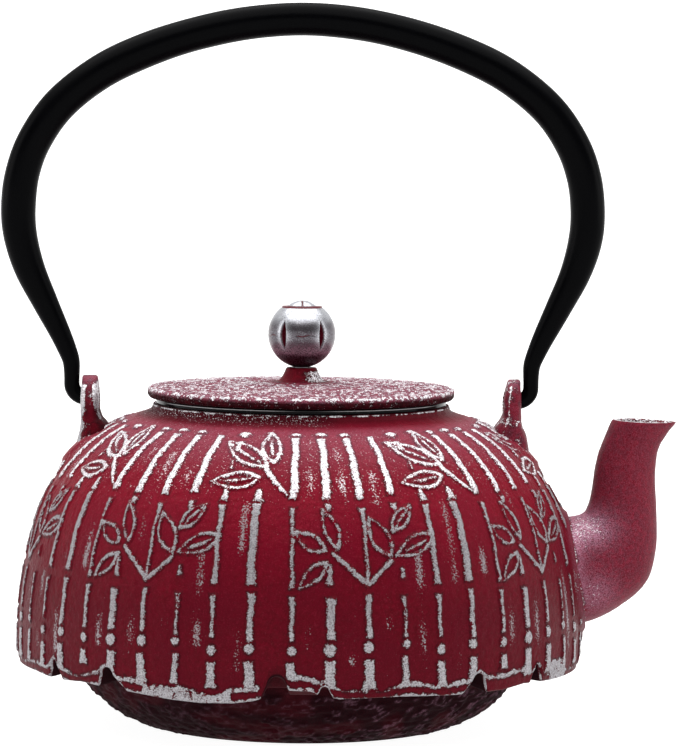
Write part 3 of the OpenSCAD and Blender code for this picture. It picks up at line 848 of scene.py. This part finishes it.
# ---------------------------------------------------------------- lid

LID_Z, LID_R, LID_EDGE, LID_RISE = 97.3, 46.0, 3.3, 1.1
SPIGOT_IN, SPIGOT_OUT, SPIGOT_DEEP = 34.0, 36.4, 7.0
PEDESTAL_Z, SCREW_HOLE_R = 106.5, 2.2
RECESS_Z = LID_Z + 0.7
LID_TOP = LID_Z + LID_EDGE


def lid_top_z(r):
    """Height of the lid's smooth upper surface, with its pedestal."""
    top = LID_TOP
    return np.interp(r, [4.9, 5.5, 6.1, 6.8, 7.4, 8.2, 10, 14, 28, LID_R - 0.9],
                     [105.5, 104.2, 103.3, 102.6, 102.35, top + 1.8, top + 1.4, top + LID_RISE,
                      top + 0.88, top])


def lid_columns(r):
    """How many points a ring of the upper surface has."""
    return 960 if r > 24 else 480 if r > 11 else 240 if r > 6 else 120


def lid_casting():
    """The lid, pebbled like leather on top, with a pedestal for the knob and a spigot below."""
    skin = Skin()
    low = LID_Z - SPIGOT_DEEP
    # The underside and the spigot, painted darker as painted shade.
    for r, z, count in ((SCREW_HOLE_R, RECESS_Z, 120), (14, RECESS_Z, 120),
                        (SPIGOT_IN - 0.5, RECESS_Z, 240), (SPIGOT_IN, RECESS_Z - 0.4, 240),
                        (SPIGOT_IN, low + 0.6, 240), (SPIGOT_IN + 0.6, low, 240),
                        (SPIGOT_OUT - 0.6, low, 240), (SPIGOT_OUT, low + 0.6, 240),
                        (SPIGOT_OUT, LID_Z - 0.3, 240), (SPIGOT_OUT + 0.3, LID_Z, 480),
                        (LID_R - 1.6, LID_Z + 0.02, 480)):
        skin.ring(ring_at(r, z, count), silver=BARE, speck=0.05, soot=0.5)
    # round the edge, from the underside to the top
    edge = np.concatenate([arc((LID_R - 1.35, LID_Z + 1.3), 1.28, -80, -5, 7), [(LID_R - 0.06, LID_Z + 1.6)],
                           arc((LID_R - 1.0, LID_TOP - 1.0), 0.94, 8, 84, 8)])
    rows = [(r, z, smooth(LID_TOP - 1.5, LID_TOP - 0.4, z)) for r, z in edge]
    rows += [(r, lid_top_z(r), 1.0) for r in np.arange(LID_R - 1.2, 4.9, -0.34)]
    for k, (r, z, upper) in enumerate(rows):
        flat = ring_at(r, z, lid_columns(r))
        pebble = 0.75 * noise3(flat, 1.0, 31) + 0.5 * noise3(flat, 0.65, 32) + 0.2 * noise3(flat, 5, 35)
        calm = smooth(6.0, 12, r)
        up = (0.34 * smooth(-0.15, 0.45, pebble) - 0.3) * calm * upper
        out = (0.1 * pebble - 0.1) * (1 - upper) * (k < len(edge))
        points = flat + np.stack([flat[:, 0] / r * out, flat[:, 1] / r * out, up], 1)
        rim = np.exp(-((r - LID_R + 0.55) / 0.5) ** 2) * upper * (k < len(edge) + 2)
        east = smooth(-0.2, 0.6, flat[:, 0] / r) * smooth(9, 6, r)
        silver = 0.6 * (pebble - 0.45) * calm * upper + 0.36 * rim - 0.35 * (1 - upper) - 0.6 * (1 - calm)
        # Painted shade on the edge and underside and in the hollows of the pebbling, frost and painted sheen
        # on the top, and a patch beside the pedestal towards +x with silver, specks and darker paint.
        skin.ring(points, silver=silver + 0.75 * east, speck=0.3 * calm + 0.1 + 0.6 * east,
                  frost=0.36 * upper * calm,
                  soot=0.78 * (1 - upper) + 0.6 * east + 0.12 * smooth(0.1, -0.5, pebble) * calm)
    # The pedestal's top under the knob, painted darker as painted shade.
    skin.ring(ring_at(4.65, PEDESTAL_Z - 0.35, 120), silver=-0.6, speck=0.2)
    skin.ring(ring_at(4.35, PEDESTAL_Z - 0.02, 120), silver=-1, speck=0.1, soot=0.4)
    skin.ring(ring_at(SCREW_HOLE_R, PEDESTAL_Z - 0.02, 120), silver=BARE, speck=0, soot=0.5)
    skin.close()
    return skin.piece("lid")


# ---------------------------------------------------------------- knob

BALL_R, BALL_Z = 10.1, 116.5
BALL_FLAT, BALL_BOTTOM = 7.9, -9.9          # above and below the centre
STEP_R, STEP_UP = 6.0, 0.5                   # the crimson step on the flat
CAP_R, CAP_RISE = 4.3, 1.75
SLITS, SLIT_LONG, SLIT_HALF, SLIT_DEEP = 5, 4.5, 1.1, 2.4
KNOB_COLUMNS, KNOB_TURN = 720, 2.4


def knob():
    """A ball with lens-shaped slits, a step on its flat top and a cap cut into petals."""
    skin = Skin()
    pitch = 360 / SLITS
    low, high = (math.degrees(math.asin(z / BALL_R)) for z in (BALL_BOTTOM, BALL_FLAT))

    def aside(count, turn=0.0):
        """How far round each point of a ring is from the nearest slit, or with a turn of half a
        pitch from the nearest middle between two, in radians."""
        u = np.arange(count) * 360 / count
        return np.radians((u - KNOB_TURN + turn) % pitch - pitch / 2)

    skin.ring(ring_at(2.0, BALL_Z - 4, 90), silver=0, low=1)
    skin.ring(ring_at(2.0, BALL_Z + BALL_BOTTOM, 90), silver=0, low=1)
    for latitude in np.concatenate([[low], np.linspace(low + 1.5, high - 0.8, 230), [high]]):
        r, z = BALL_R * math.cos(math.radians(latitude)), BALL_R * math.sin(math.radians(latitude))
        count = KNOB_COLUMNS if r > 3 else 360 if r > 2.2 else 180
        half = SLIT_HALF * max(0.0, 1 - (z / SLIT_LONG) ** 2)
        inside = half - np.abs(aside(count)) * r
        points = ring_at(r, z, count)
        wave = 0.35 * noise3(points * (1, 1, 0), 2.6, 42)
        crease = np.exp(-((z + 0.3 - wave) / 0.2) ** 2) * smooth(-0.5, -2, inside)
        crease = crease * smooth(-0.7, 0.3, noise3(points * (1, 1, 0), 4, 43))
        depth = SLIT_DEEP * smooth(-0.08, 0.12, inside) * (half > 0.03) + 0.12 * crease + 0.02
        depth = depth + 0.012 * noise3(points, 2.4, 41)
        # Painted reflection of the dark surroundings in the middle of each panel between the slits.
        patina = np.exp(-(aside(count, pitch / 2) * r / 4.8) ** 6 - ((z + 0.2) / 4.6) ** 6)
        cover = np.clip(-inside / 0.18, -1, 1) if half > 0.03 else 1.0
        # low marks the ball's lower part, which the material paints in shade.
        skin.ring(ring_at(r - depth * r / BALL_R, BALL_Z + z - depth * z / BALL_R, count),
                  silver=cover - 1.3 * crease, low=smooth(1.0, -7.5, z), patina=patina)
    flat = BALL_Z + BALL_FLAT
    count = KNOB_COLUMNS // 2
    for r, z, cover in ((6.2, 0, 0.3), (6.02, 0.02, -1), (STEP_R, STEP_UP - 0.06, -1),
                        (STEP_R - 0.06, STEP_UP, -1), (CAP_R + 0.1, STEP_UP, -1),
                        (CAP_R, STEP_UP + 0.05, -0.6), (CAP_R - 0.02, STEP_UP + 0.2, 0.6)):
        skin.ring(ring_at(r, flat + z - 0.01, count), silver=cover, low=0)
    petal = np.abs(aside(count, pitch / 2))
    sphere_r = (CAP_R**2 + CAP_RISE**2) / (2 * CAP_RISE)
    top = flat + STEP_UP + CAP_RISE
    for r in np.concatenate([np.linspace(CAP_R - 0.12, 1.0, 24), [0.6]]):
        z = top - sphere_r + math.sqrt(sphere_r**2 - r * r)
        cut = 0.5 * smooth(0.34, 0.2, petal * r) * smooth(0.7, 1.3, r) * smooth(CAP_R, CAP_R - 0.5, r)
        skin.ring(ring_at(r, z - cut - 0.02, count), silver=np.where(cut > 0.2, -0.7, 0.9), low=0)
    skin.cap((0, 0, top - 0.02))
    skin.cap((0, 0, BALL_Z - 4), first=True)
    return skin.piece("knob_ball")


# ---------------------------------------------------------------- bail

# Half of its centre line: x, z, radius, from the hook to the top
BAIL = [(68.75, 104.6, 2.5), (69, 107.8, 2.7), (70.2, 111.2, 2.95), (72.5, 116.4, 3.3),
        (76.8, 125.2, 3.95), (81.6, 135.4, 4.7), (84.4, 145.2, 5.15), (85, 154, 5.25),
        (83.8, 164, 5.25), (80.1, 174, 5.25), (72.8, 184.4, 5.25), (61.6, 193.5, 5.25),
        (49, 200, 5.25), (34, 205.3, 5.1), (17, 209.1, 5), (0, 210.4, 5)]
HOOK_BEND, PIN_END, ROD_R = 4.1, 60.9, 2.4
BAIL_SIDES = 48


def bail_path():
    """The centre line and radius of the whole bail, from the left pin to the right pin."""
    left = [(-x, z, r) for x, z, r in BAIL]
    top = curve_through(left + [(x, z, r) for x, z, r in BAIL[-2::-1]], 8)
    x0, z0 = BAIL[0][0], PIVOT_Z + HOOK_BEND
    bend = arc((-(x0 - HOOK_BEND), z0), HOOK_BEND, 270, 180, 10)
    ends = ((0.02, 0.5), (0.3, 0.05), (1.2, 0))
    hook = [(-PIN_END - along, PIVOT_Z, ROD_R - less) for along, less in ends]
    hook += [(x, z, ROD_R) for x, z in bend] + [(-x0, z0 + 1.6, ROD_R)]
    return np.array(hook + list(top) + [(-x, z, r) for x, z, r in hook[::-1]])


def bail():
    """The bar, slightly uneven from the hammer."""
    path = bail_path()
    step = np.gradient(path[:, :2], axis=0)
    step /= np.linalg.norm(step, axis=1)[:, None]
    a = around(BAIL_SIDES)
    skin = Skin()
    for (x, z, r), (dx, dz) in zip(path, step):
        points = np.stack([x + r * np.cos(a) * dz, r * np.sin(a), z - r * np.cos(a) * dx], 1)
        center = np.array([x, 0, z])
        dent = 0.04 * noise3(points, 12, 51) - 0.07
        skin.ring(points + (points - center) / r * dent[:, None])
    skin.cap((path[-1, 0], 0, PIVOT_Z))
    skin.cap((path[0, 0], 0, PIVOT_Z), first=True)
    return skin.piece("bail_bar")


# ---------------------------------------------------------------- infuser

SHEET, COLLAR_R, COLLAR_LOW = 0.6, 37.6, 85.0
FLANGE_Z, FLANGE_R = SEAT_Z + ENAMEL, SEAT_R - ENAMEL - 0.3
BASKET_R, BASKET_Z = 37.0, 44.5
WIRE_R, WIRE_PITCH = 0.13, 1.05


def weave(count, first):
    """How far a wire sways at its crossings, to one side and the other in turn."""
    return WIRE_R * 0.95 * (-1.0) ** (np.arange(count) + first)


def infuser_rim():
    """A flange with a rolled edge on a short collar."""
    outer, top = COLLAR_R + SHEET, FLANGE_Z + SHEET
    outline = [(COLLAR_R, COLLAR_LOW), (COLLAR_R + 0.3, COLLAR_LOW), (outer, COLLAR_LOW + 0.15),
               (outer, FLANGE_Z - 0.35), (outer + 0.35, FLANGE_Z), (FLANGE_R - 0.5, FLANGE_Z)]
    outline += list(arc((FLANGE_R - 0.3, FLANGE_Z + 0.3), 0.3, -70, 110, 8))
    outline += [(FLANGE_R - 0.9, top - 0.12), (COLLAR_R + 1.3, top - 0.14), (COLLAR_R + 0.55, top - 0.22),
                (COLLAR_R + 0.12, top - 0.6), (COLLAR_R, FLANGE_Z - 0.6)]
    return turned("strainer_rim", outline, 320)


def infuser_band():
    """The folded band that holds the edge of the base."""
    r, z = COLLAR_R, BASKET_Z
    outline = [(33, z), (r + 0.1, z), (r + 0.45, z + 0.12), (r + SHEET, z + 0.45), (r + SHEET, z + 5.2),
               (r + 0.45, z + 5.45), (r + 0.1, z + 5.4), (r, z + 5.1), (r, z + SHEET), (33.1, z + SHEET),
               (32.9, z + 0.3)]
    return turned("strainer_band", outline, 240)


def wires(name, lines):
    """Wires of square section as one mesh. Each is a line of points, a direction that is square to
    it at each point, and whether it is closed."""
    points, quads, count = [], [], 0
    for line, side, closed in lines:
        n = len(line)
        ahead = np.roll(line, -1, 0) - np.roll(line, 1, 0) if closed else np.gradient(line, axis=0)
        ahead /= np.linalg.norm(ahead, axis=1)[:, None]
        other = np.cross(ahead, side)
        corners = [line + WIRE_R * (p * side + q * other) for p, q in ((1, 0), (0, 1), (-1, 0), (0, -1))]
        points.append(np.stack(corners, 1).reshape(-1, 3))
        i = np.arange(n if closed else n - 1)
        j = (i + 1) % n
        for c in range(4):
            d = (c + 1) % 4
            quads.append(count + np.stack([4 * i + c, 4 * i + d, 4 * j + d, 4 * j + c], 1))
        if not closed:
            quads.append(count + np.array([[3, 2, 1, 0], [4 * n - 4, 4 * n - 3, 4 * n - 2, 4 * n - 1]]))
        count += 4 * n
    return make_piece(name, np.concatenate(points), [np.concatenate(quads)], {})


def infuser_wall():
    """Woven wire round the side of the basket."""
    low, high, r = BASKET_Z + 1.3, COLLAR_LOW + 0.9, BASKET_R + 0.3
    rows = int((high - low) / WIRE_PITCH)
    stands = 2 * int(math.pi * r / WIRE_PITCH)
    lines = []
    z = low + np.arange(rows + 1) * (high - low) / rows
    for k in range(stands):
        a = 2 * math.pi * k / stands
        out = np.array([math.sin(a), -math.cos(a), 0])
        line = (r + weave(rows + 1, k))[:, None] * out + np.stack([0 * z, 0 * z, z], 1)
        lines.append((line, np.broadcast_to(out, line.shape), False))
    out = ring_at(1, 0, stands)
    for k in range(1, rows):
        lines.append(((r - weave(stands, k))[:, None] * out + (0, 0, z[k]), out, True))
    return wires("strainer_wall", lines)


def infuser_base():
    """Woven wire across the bottom of the basket."""
    z0, r = BASKET_Z + 1.5 * SHEET, COLLAR_R - 0.15
    count = int(2 * r / WIRE_PITCH)
    lines = []
    up = np.array([0, 0, 1.0])
    for turn in (0, 1):
        for k in range(1, count):
            offset = -r + k * 2 * r / count
            half = math.sqrt(r * r - offset * offset)
            cells = max(2, int(2 * half / WIRE_PITCH))
            t = np.linspace(-half, half, cells + 1)
            line = np.stack([t, 0 * t + offset, z0 + weave(cells + 1, k + turn)], 1)
            lines.append((line[:, [1, 0, 2]] if turn else line, np.broadcast_to(up, line.shape), False))
    return wires("strainer_base", lines)


# ---------------------------------------------------------------- materials

class Material:
    """A node material being built. The methods for numbers and colours return a socket."""

    def __init__(self, name):
        self.material = bpy.data.materials.new(name)
        self.material.use_nodes = True
        self.tree = self.material.node_tree
        self.shader = self.tree.nodes["Principled BSDF"]
        self.place = self.tree.nodes.new("ShaderNodeTexCoord").outputs["Object"]

    def node(self, kind, links=(), **settings):
        """A node with its settings, and with pairs of an input and its value or source."""
        node = self.tree.nodes.new(kind)
        for key, value in settings.items():
            setattr(node, key, value)
        for socket, value in links:
            self.put(node.inputs[socket], value)
        return node

    def put(self, socket, value):
        if isinstance(value, bpy.types.NodeSocket):
            self.tree.links.new(value, socket)
        else:
            socket.default_value = value

    def set(self, **inputs):
        """Sets inputs of the shader: constants, or sockets to link."""
        for key, value in inputs.items():
            self.put(self.shader.inputs[key.replace("_", " ").title().replace("Ior", "IOR")], value)

    def noise(self, size, detail=2.0, rough=0.5, stretch=(1, 1, 1)):
        """Noise from 0 to 1 with features of size mm."""
        vector = self.place
        if stretch != (1, 1, 1):
            vector = self.node("ShaderNodeMapping", [("Vector", vector), ("Scale", stretch)]).outputs[0]
        links = [("Vector", vector), ("Scale", 1 / (size * MM)), ("Detail", detail), ("Roughness", rough)]
        return self.node("ShaderNodeTexNoise", links).outputs["Fac"]

    def math(self, operation, a, b):
        return self.node("ShaderNodeMath", [(0, a), (1, b)], operation=operation).outputs[0]

    def plus(self, a, b):
        return self.math("ADD", a, b)

    def times(self, a, b):
        return self.math("MULTIPLY", a, b)

    def roughen(self, value, noise, gain):
        """A value with noise added, which averages to nothing."""
        return self.plus(value, self.times(self.math("SUBTRACT", noise, 0.5), gain))

    def step(self, value, low, high, to_low=0.0, to_high=1.0):
        """A smooth ramp of a value between two others."""
        links = [("Value", value), ("From Min", low), ("From Max", high), ("To Min", to_low),
                 ("To Max", to_high)]
        return self.node("ShaderNodeMapRange", links, interpolation_type="SMOOTHSTEP").outputs["Result"]

    def mix(self, factor, a, b):
        """A colour between two colours."""
        return self.node("ShaderNodeMix", [("Factor", factor), (6, a), (7, b)], data_type="RGBA").outputs[2]

    def attribute(self, name):
        return self.node("ShaderNodeAttribute", attribute_name=name).outputs["Fac"]

    def bump(self, height, strength, distance, normal=None):
        links = [("Height", height), ("Strength", strength), ("Distance", distance * MM)]
        if normal is not None:
            links.append(("Normal", normal))
        return self.node("ShaderNodeBump", links).outputs["Normal"]


def rgb(red, green, blue):
    """A linear colour from sRGB values out of 255."""
    levels = [c / 255 for c in (red, green, blue)]
    return tuple(((c + 0.055) / 1.055) ** 2.4 if c > 0.04045 else c / 12.92 for c in levels) + (1.0,)


def crimson_iron():
    """Crimson paint over cast iron, with silver worn onto what stands up. Painted shade darkens it towards
    the base and underneath, and a painted sheen lightens it high up.
    """
    m = Material("crimson_iron")
    grit, sand, cloud = m.noise(0.42, 3, 0.65), m.noise(1.5, 4, 0.6), m.noise(16, 3, 0.55)
    fleck, fine = m.noise(0.5, 2, 0.6), m.noise(0.33, 2, 0.7)
    line = m.attribute("silver")
    silver = m.step(m.roughen(m.roughen(line, grit, 1.7), sand, 1.2), -0.05, 0.2)
    density = m.roughen(m.attribute("speck"), cloud, 0.3)
    speck = m.plus(m.times(density, 0.34), m.math("SUBTRACT", fleck, 0.82))
    silver = m.math("MAXIMUM", silver, m.step(speck, 0.0, 0.08, 0, 0.8))
    paint = m.mix(m.step(sand, 0.3, 0.7), rgb(95, 1, 17), rgb(113, 2, 26))
    paint = m.mix(m.step(cloud, 0.3, 0.7), paint, rgb(100, 1, 23))
    paint = m.mix(m.step(grit, 0.5, 0.8, 0, 0.42), paint, rgb(160, 44, 68))
    paint = m.mix(m.step(fine, 0.28, 0.48, 0.5, 0.0), paint, rgb(66, 1, 9))
    # Painted shadow: the ground beside each raised stroke is painted darker, as the shade the strokes cast.
    outline = m.times(m.step(line, -1.0, -0.3, 0, 0.75), m.step(sand, 0.35, 0.6))
    paint = m.mix(outline, paint, rgb(38, 4, 9))
    # Painted shade: a dark paint mixed in where the mesh attribute asks for it.
    soot = m.attribute("soot")
    paint = m.mix(soot, paint, m.mix(m.step(grit, 0.35, 0.75), rgb(18, 1, 4), rgb(32, 3, 8)))
    # Frost and painted sheen: a pale pink mixed in.
    frost = m.times(m.attribute("frost"), m.step(fine, 0.25, 0.75))
    paint = m.mix(frost, paint, rgb(186, 134, 158))
    # The silver, painted greyer where the mesh asks for painted shade.
    bright = m.mix(m.step(grit, 0.34, 0.6), rgb(106, 92, 100), rgb(228, 226, 229))
    dull = m.mix(m.step(grit, 0.36, 0.6), rgb(104, 98, 102), rgb(142, 140, 143))
    bright = m.mix(m.attribute("dull"), bright, dull)
    m.set(base_color=m.mix(silver, paint, bright), metallic=m.times(silver, 0.45),
          roughness=m.math("MAXIMUM", 0.45, m.times(soot, 0.85)))
    normal = m.bump(m.plus(m.times(grit, 0.6), m.times(sand, 0.35)), 0.8, 0.25)
    m.set(normal=m.bump(silver, 0.4, 0.06, normal), specular_ior_level=0.05)
    return m.material


def black_enamel():
    """Black gloss with a slight orange peel."""
    m = Material("black_enamel")
    pit, wave = m.noise(0.9, 2), m.noise(5, 2)
    black = m.mix(m.step(pit, 0.35, 0.7), rgb(2, 2, 3), rgb(8, 7, 9))
    # A painted highlight line, near white, where the lining's attribute marks it.
    m.set(base_color=m.mix(m.attribute("rubbed"), black, rgb(214, 214, 216)))
    m.set(roughness=m.step(wave, 0.3, 0.7, 0.12, 0.2), specular_ior_level=0.06)
    m.set(normal=m.bump(m.plus(wave, m.times(pit, 0.15)), 0.25, 0.12))
    return m.material


def silver_knob():
    """Satin silver that has worn through to crimson in the cuts. Painted shade turns it plum and darker
    towards the foot, and a painted dark reflection dims the middle of each panel.
    """
    m = Material("silver_knob")
    grit, cloud = m.noise(0.35, 3, 0.6), m.noise(2.4, 3, 0.6)
    low = m.attribute("low")
    # Painted shade: the lower part of the ball is painted plum and made less metallic.
    plum = m.step(m.roughen(low, cloud, 0.35), 0.12, 1.0)
    silver = m.mix(m.step(cloud, 0.3, 0.7), rgb(172, 174, 180), rgb(196, 198, 203))
    # Painted dark reflection in the middle of each panel.
    patina = m.times(m.attribute("patina"), m.step(grit, 0.2, 0.6, 0.6, 0.98))
    silver = m.mix(patina, silver, rgb(64, 55, 61))
    silver = m.mix(m.step(grit, 0.4, 0.7, 0, 0.4), silver, rgb(104, 96, 102))
    silver = m.mix(plum, silver, m.mix(m.step(grit, 0.35, 0.65), rgb(60, 24, 37), rgb(140, 92, 112)))
    # Painted shade, darkest at the foot of the ball.
    silver = m.mix(m.step(low, 0.8, 1.0, 0, 0.85), silver, rgb(26, 5, 12))
    cover = m.step(m.roughen(m.attribute("silver"), grit, 0.3), -0.1, 0.25)
    m.set(base_color=m.mix(cover, rgb(84, 8, 26), silver), roughness=m.step(grit, 0.2, 0.8, 0.22, 0.34))
    metal = m.times(cover, m.step(plum, 0, 1, 0.85, 0.4))
    m.set(metallic=metal, normal=m.bump(grit, 0.45, 0.06), specular_ior_level=0.35)
    return m.material


def black_bail():
    """Black lacquer over forged iron."""
    m = Material("black_bail")
    grit, cloud = m.noise(0.5, 3, 0.6), m.noise(18, 2)
    m.set(base_color=m.mix(grit, rgb(1, 1, 2), rgb(4, 4, 5)), roughness=m.step(cloud, 0.3, 0.7, 0.26, 0.34))
    m.set(normal=m.bump(grit, 0.3, 0.05), specular_ior_level=0.025)
    return m.material


def steel(name, tint, low, high, stretch):
    """Bare steel with fine lines. stretch makes them run round or across the piece."""
    m = Material(name)
    line, cloud = m.noise(0.35, 3, 0.6, stretch), m.noise(4, 2)
    darker = rgb(*(c * 0.88 for c in tint))
    m.set(base_color=m.mix(m.step(cloud, 0.3, 0.7), rgb(*tint), darker), metallic=1.0)
    m.set(roughness=m.step(line, 0.25, 0.75, low, high), normal=m.bump(line, 0.2, 0.03))
    return m.material


def pale_floor():
    """A pale grey that glows a little, so that it is as bright as the photograph's background."""
    m = Material("pale_floor")
    m.set(base_color=m.mix(m.noise(40, 3), rgb(150, 150, 150), rgb(156, 156, 156)), roughness=0.8)
    m.set(specular_ior_level=0.0, emission_color=(1, 1, 1, 1), emission_strength=0.95)
    return m.material


# ---------------------------------------------------------------- stage, light and camera

def floor():
    """A pale floor that rises gently far away, so that only floor is seen behind the pot."""
    skin = Skin()
    for r, z in ((400, 0), (1500, 0), (3000, 0), (5000, 90), (12000, 900), (18000, 2700)):
        skin.ring(ring_at(r, z - 0.05, 96))
    skin.cap((0, 0, -0.05), first=True)
    stage = skin.piece("floor")
    stage.data.flip_normals()
    stage.data.materials.append(pale_floor())


def look_from(thing, position, aim):
    """Puts a light or the camera at a position and turns it to a point, in metres."""
    thing.location = position
    thing.rotation_euler = (thing.location - Vector(aim)).to_track_quat("Z", "Y").to_euler()
    bpy.context.scene.collection.objects.link(thing)


def softbox(name, position, aim, size, watts):
    """A rectangular light."""
    data = bpy.data.lights.new(name, "AREA")
    data.shape, data.energy = "RECTANGLE", watts
    data.size, data.size_y = size
    look_from(bpy.data.objects.new(name, data), position, aim)


def light():
    """A soft light overhead, two low ones at the sides, and a world that is bright behind the pot."""
    world = bpy.data.worlds.new("studio")
    world.use_nodes = True
    nodes, links = world.node_tree.nodes, world.node_tree.links
    direction_y = nodes.new("ShaderNodeSeparateXYZ")
    links.new(nodes.new("ShaderNodeTexCoord").outputs["Generated"], direction_y.inputs[0])
    glow = nodes.new("ShaderNodeMapRange")
    for socket, value in (("From Min", -0.5), ("From Max", 0.4), ("To Min", 0.06), ("To Max", 0.9)):
        glow.inputs[socket].default_value = value
    links.new(direction_y.outputs["Y"], glow.inputs["Value"])
    links.new(glow.outputs["Result"], nodes["Background"].inputs["Strength"])
    nodes["Background"].inputs["Color"].default_value = (1, 1, 1, 1)
    bpy.context.scene.world = world
    sun = bpy.data.lights.new("overhead", "SUN")
    sun.energy, sun.angle = 5.0, math.radians(90)
    lamp = bpy.data.objects.new("overhead", sun)
    lamp.rotation_euler = (math.radians(6), 0, 0)
    bpy.context.scene.collection.objects.link(lamp)
    for name, x in (("left", -1.3), ("right", 1.3)):
        softbox(name, (x, -0.1, 0.55), (0, 0, 0.1), (0.6, 0.9), 4)
    bpy.context.scene.view_settings.view_transform = "Standard"


def camera():
    """A long lens, level with the top of the bail and tilted a little, as the pot is seen."""
    data = bpy.data.cameras.new("camera")
    data.sensor_width, data.lens = 36, 202.9
    view = bpy.data.objects.new("camera", data)
    look_from(view, (0.0114, -1.256, 0.1945), (0.0114, 0, 0.1049))
    view.rotation_euler.rotate_axis("Z", math.radians(0.6))
    data.clip_start, data.clip_end = 0.05, 30
    bpy.context.scene.camera = view


def place(piece, material, body_name, node, slot):
    """Gives a piece its material, its body and the CAD node that it stands for."""
    piece.data.materials.clear()
    piece.data.materials.append(material)
    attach(piece, body_name)
    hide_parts(node)


def assemble():
    """Makes every piece. The screw and the washer keep their CAD shape."""
    iron = crimson_iron()
    sheet = steel("stainless_sheet", (200, 200, 204), 0.16, 0.3, (1, 1, 14))
    mesh = steel("stainless_mesh", (190, 190, 194), 0.25, 0.4, (1, 1, 1))
    zinc = steel("zinc_screw", (176, 177, 180), 0.3, 0.45, (1, 1, 6))
    place(body_casting(), iron, "pot", "body_casting", "crimson_iron")
    place(enamel_lining(), black_enamel(), "pot", "enamel_lining", "black_enamel")
    place(lid_casting(), iron, "lid", "lid_casting", "crimson_iron")
    place(knob(), silver_knob(), "lid", "knob", "silver_knob")
    place(bail(), black_bail(), "bail", "bail_handle", "black_bail")
    place(infuser_rim(), sheet, "infuser", "infuser_rim", "stainless_sheet")
    place(infuser_wall(), mesh, "infuser", "infuser_wall_mesh", "stainless_mesh")
    place(infuser_band(), sheet, "infuser", "infuser_base_band", "stainless_sheet")
    place(infuser_base(), mesh, "infuser", "infuser_base_mesh", "stainless_mesh")
    for node in ("knob_screw", "knob_washer"):
        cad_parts[node].data.materials.clear()
        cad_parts[node].data.materials.append(zinc)


camera()
light()
floor()
assemble()
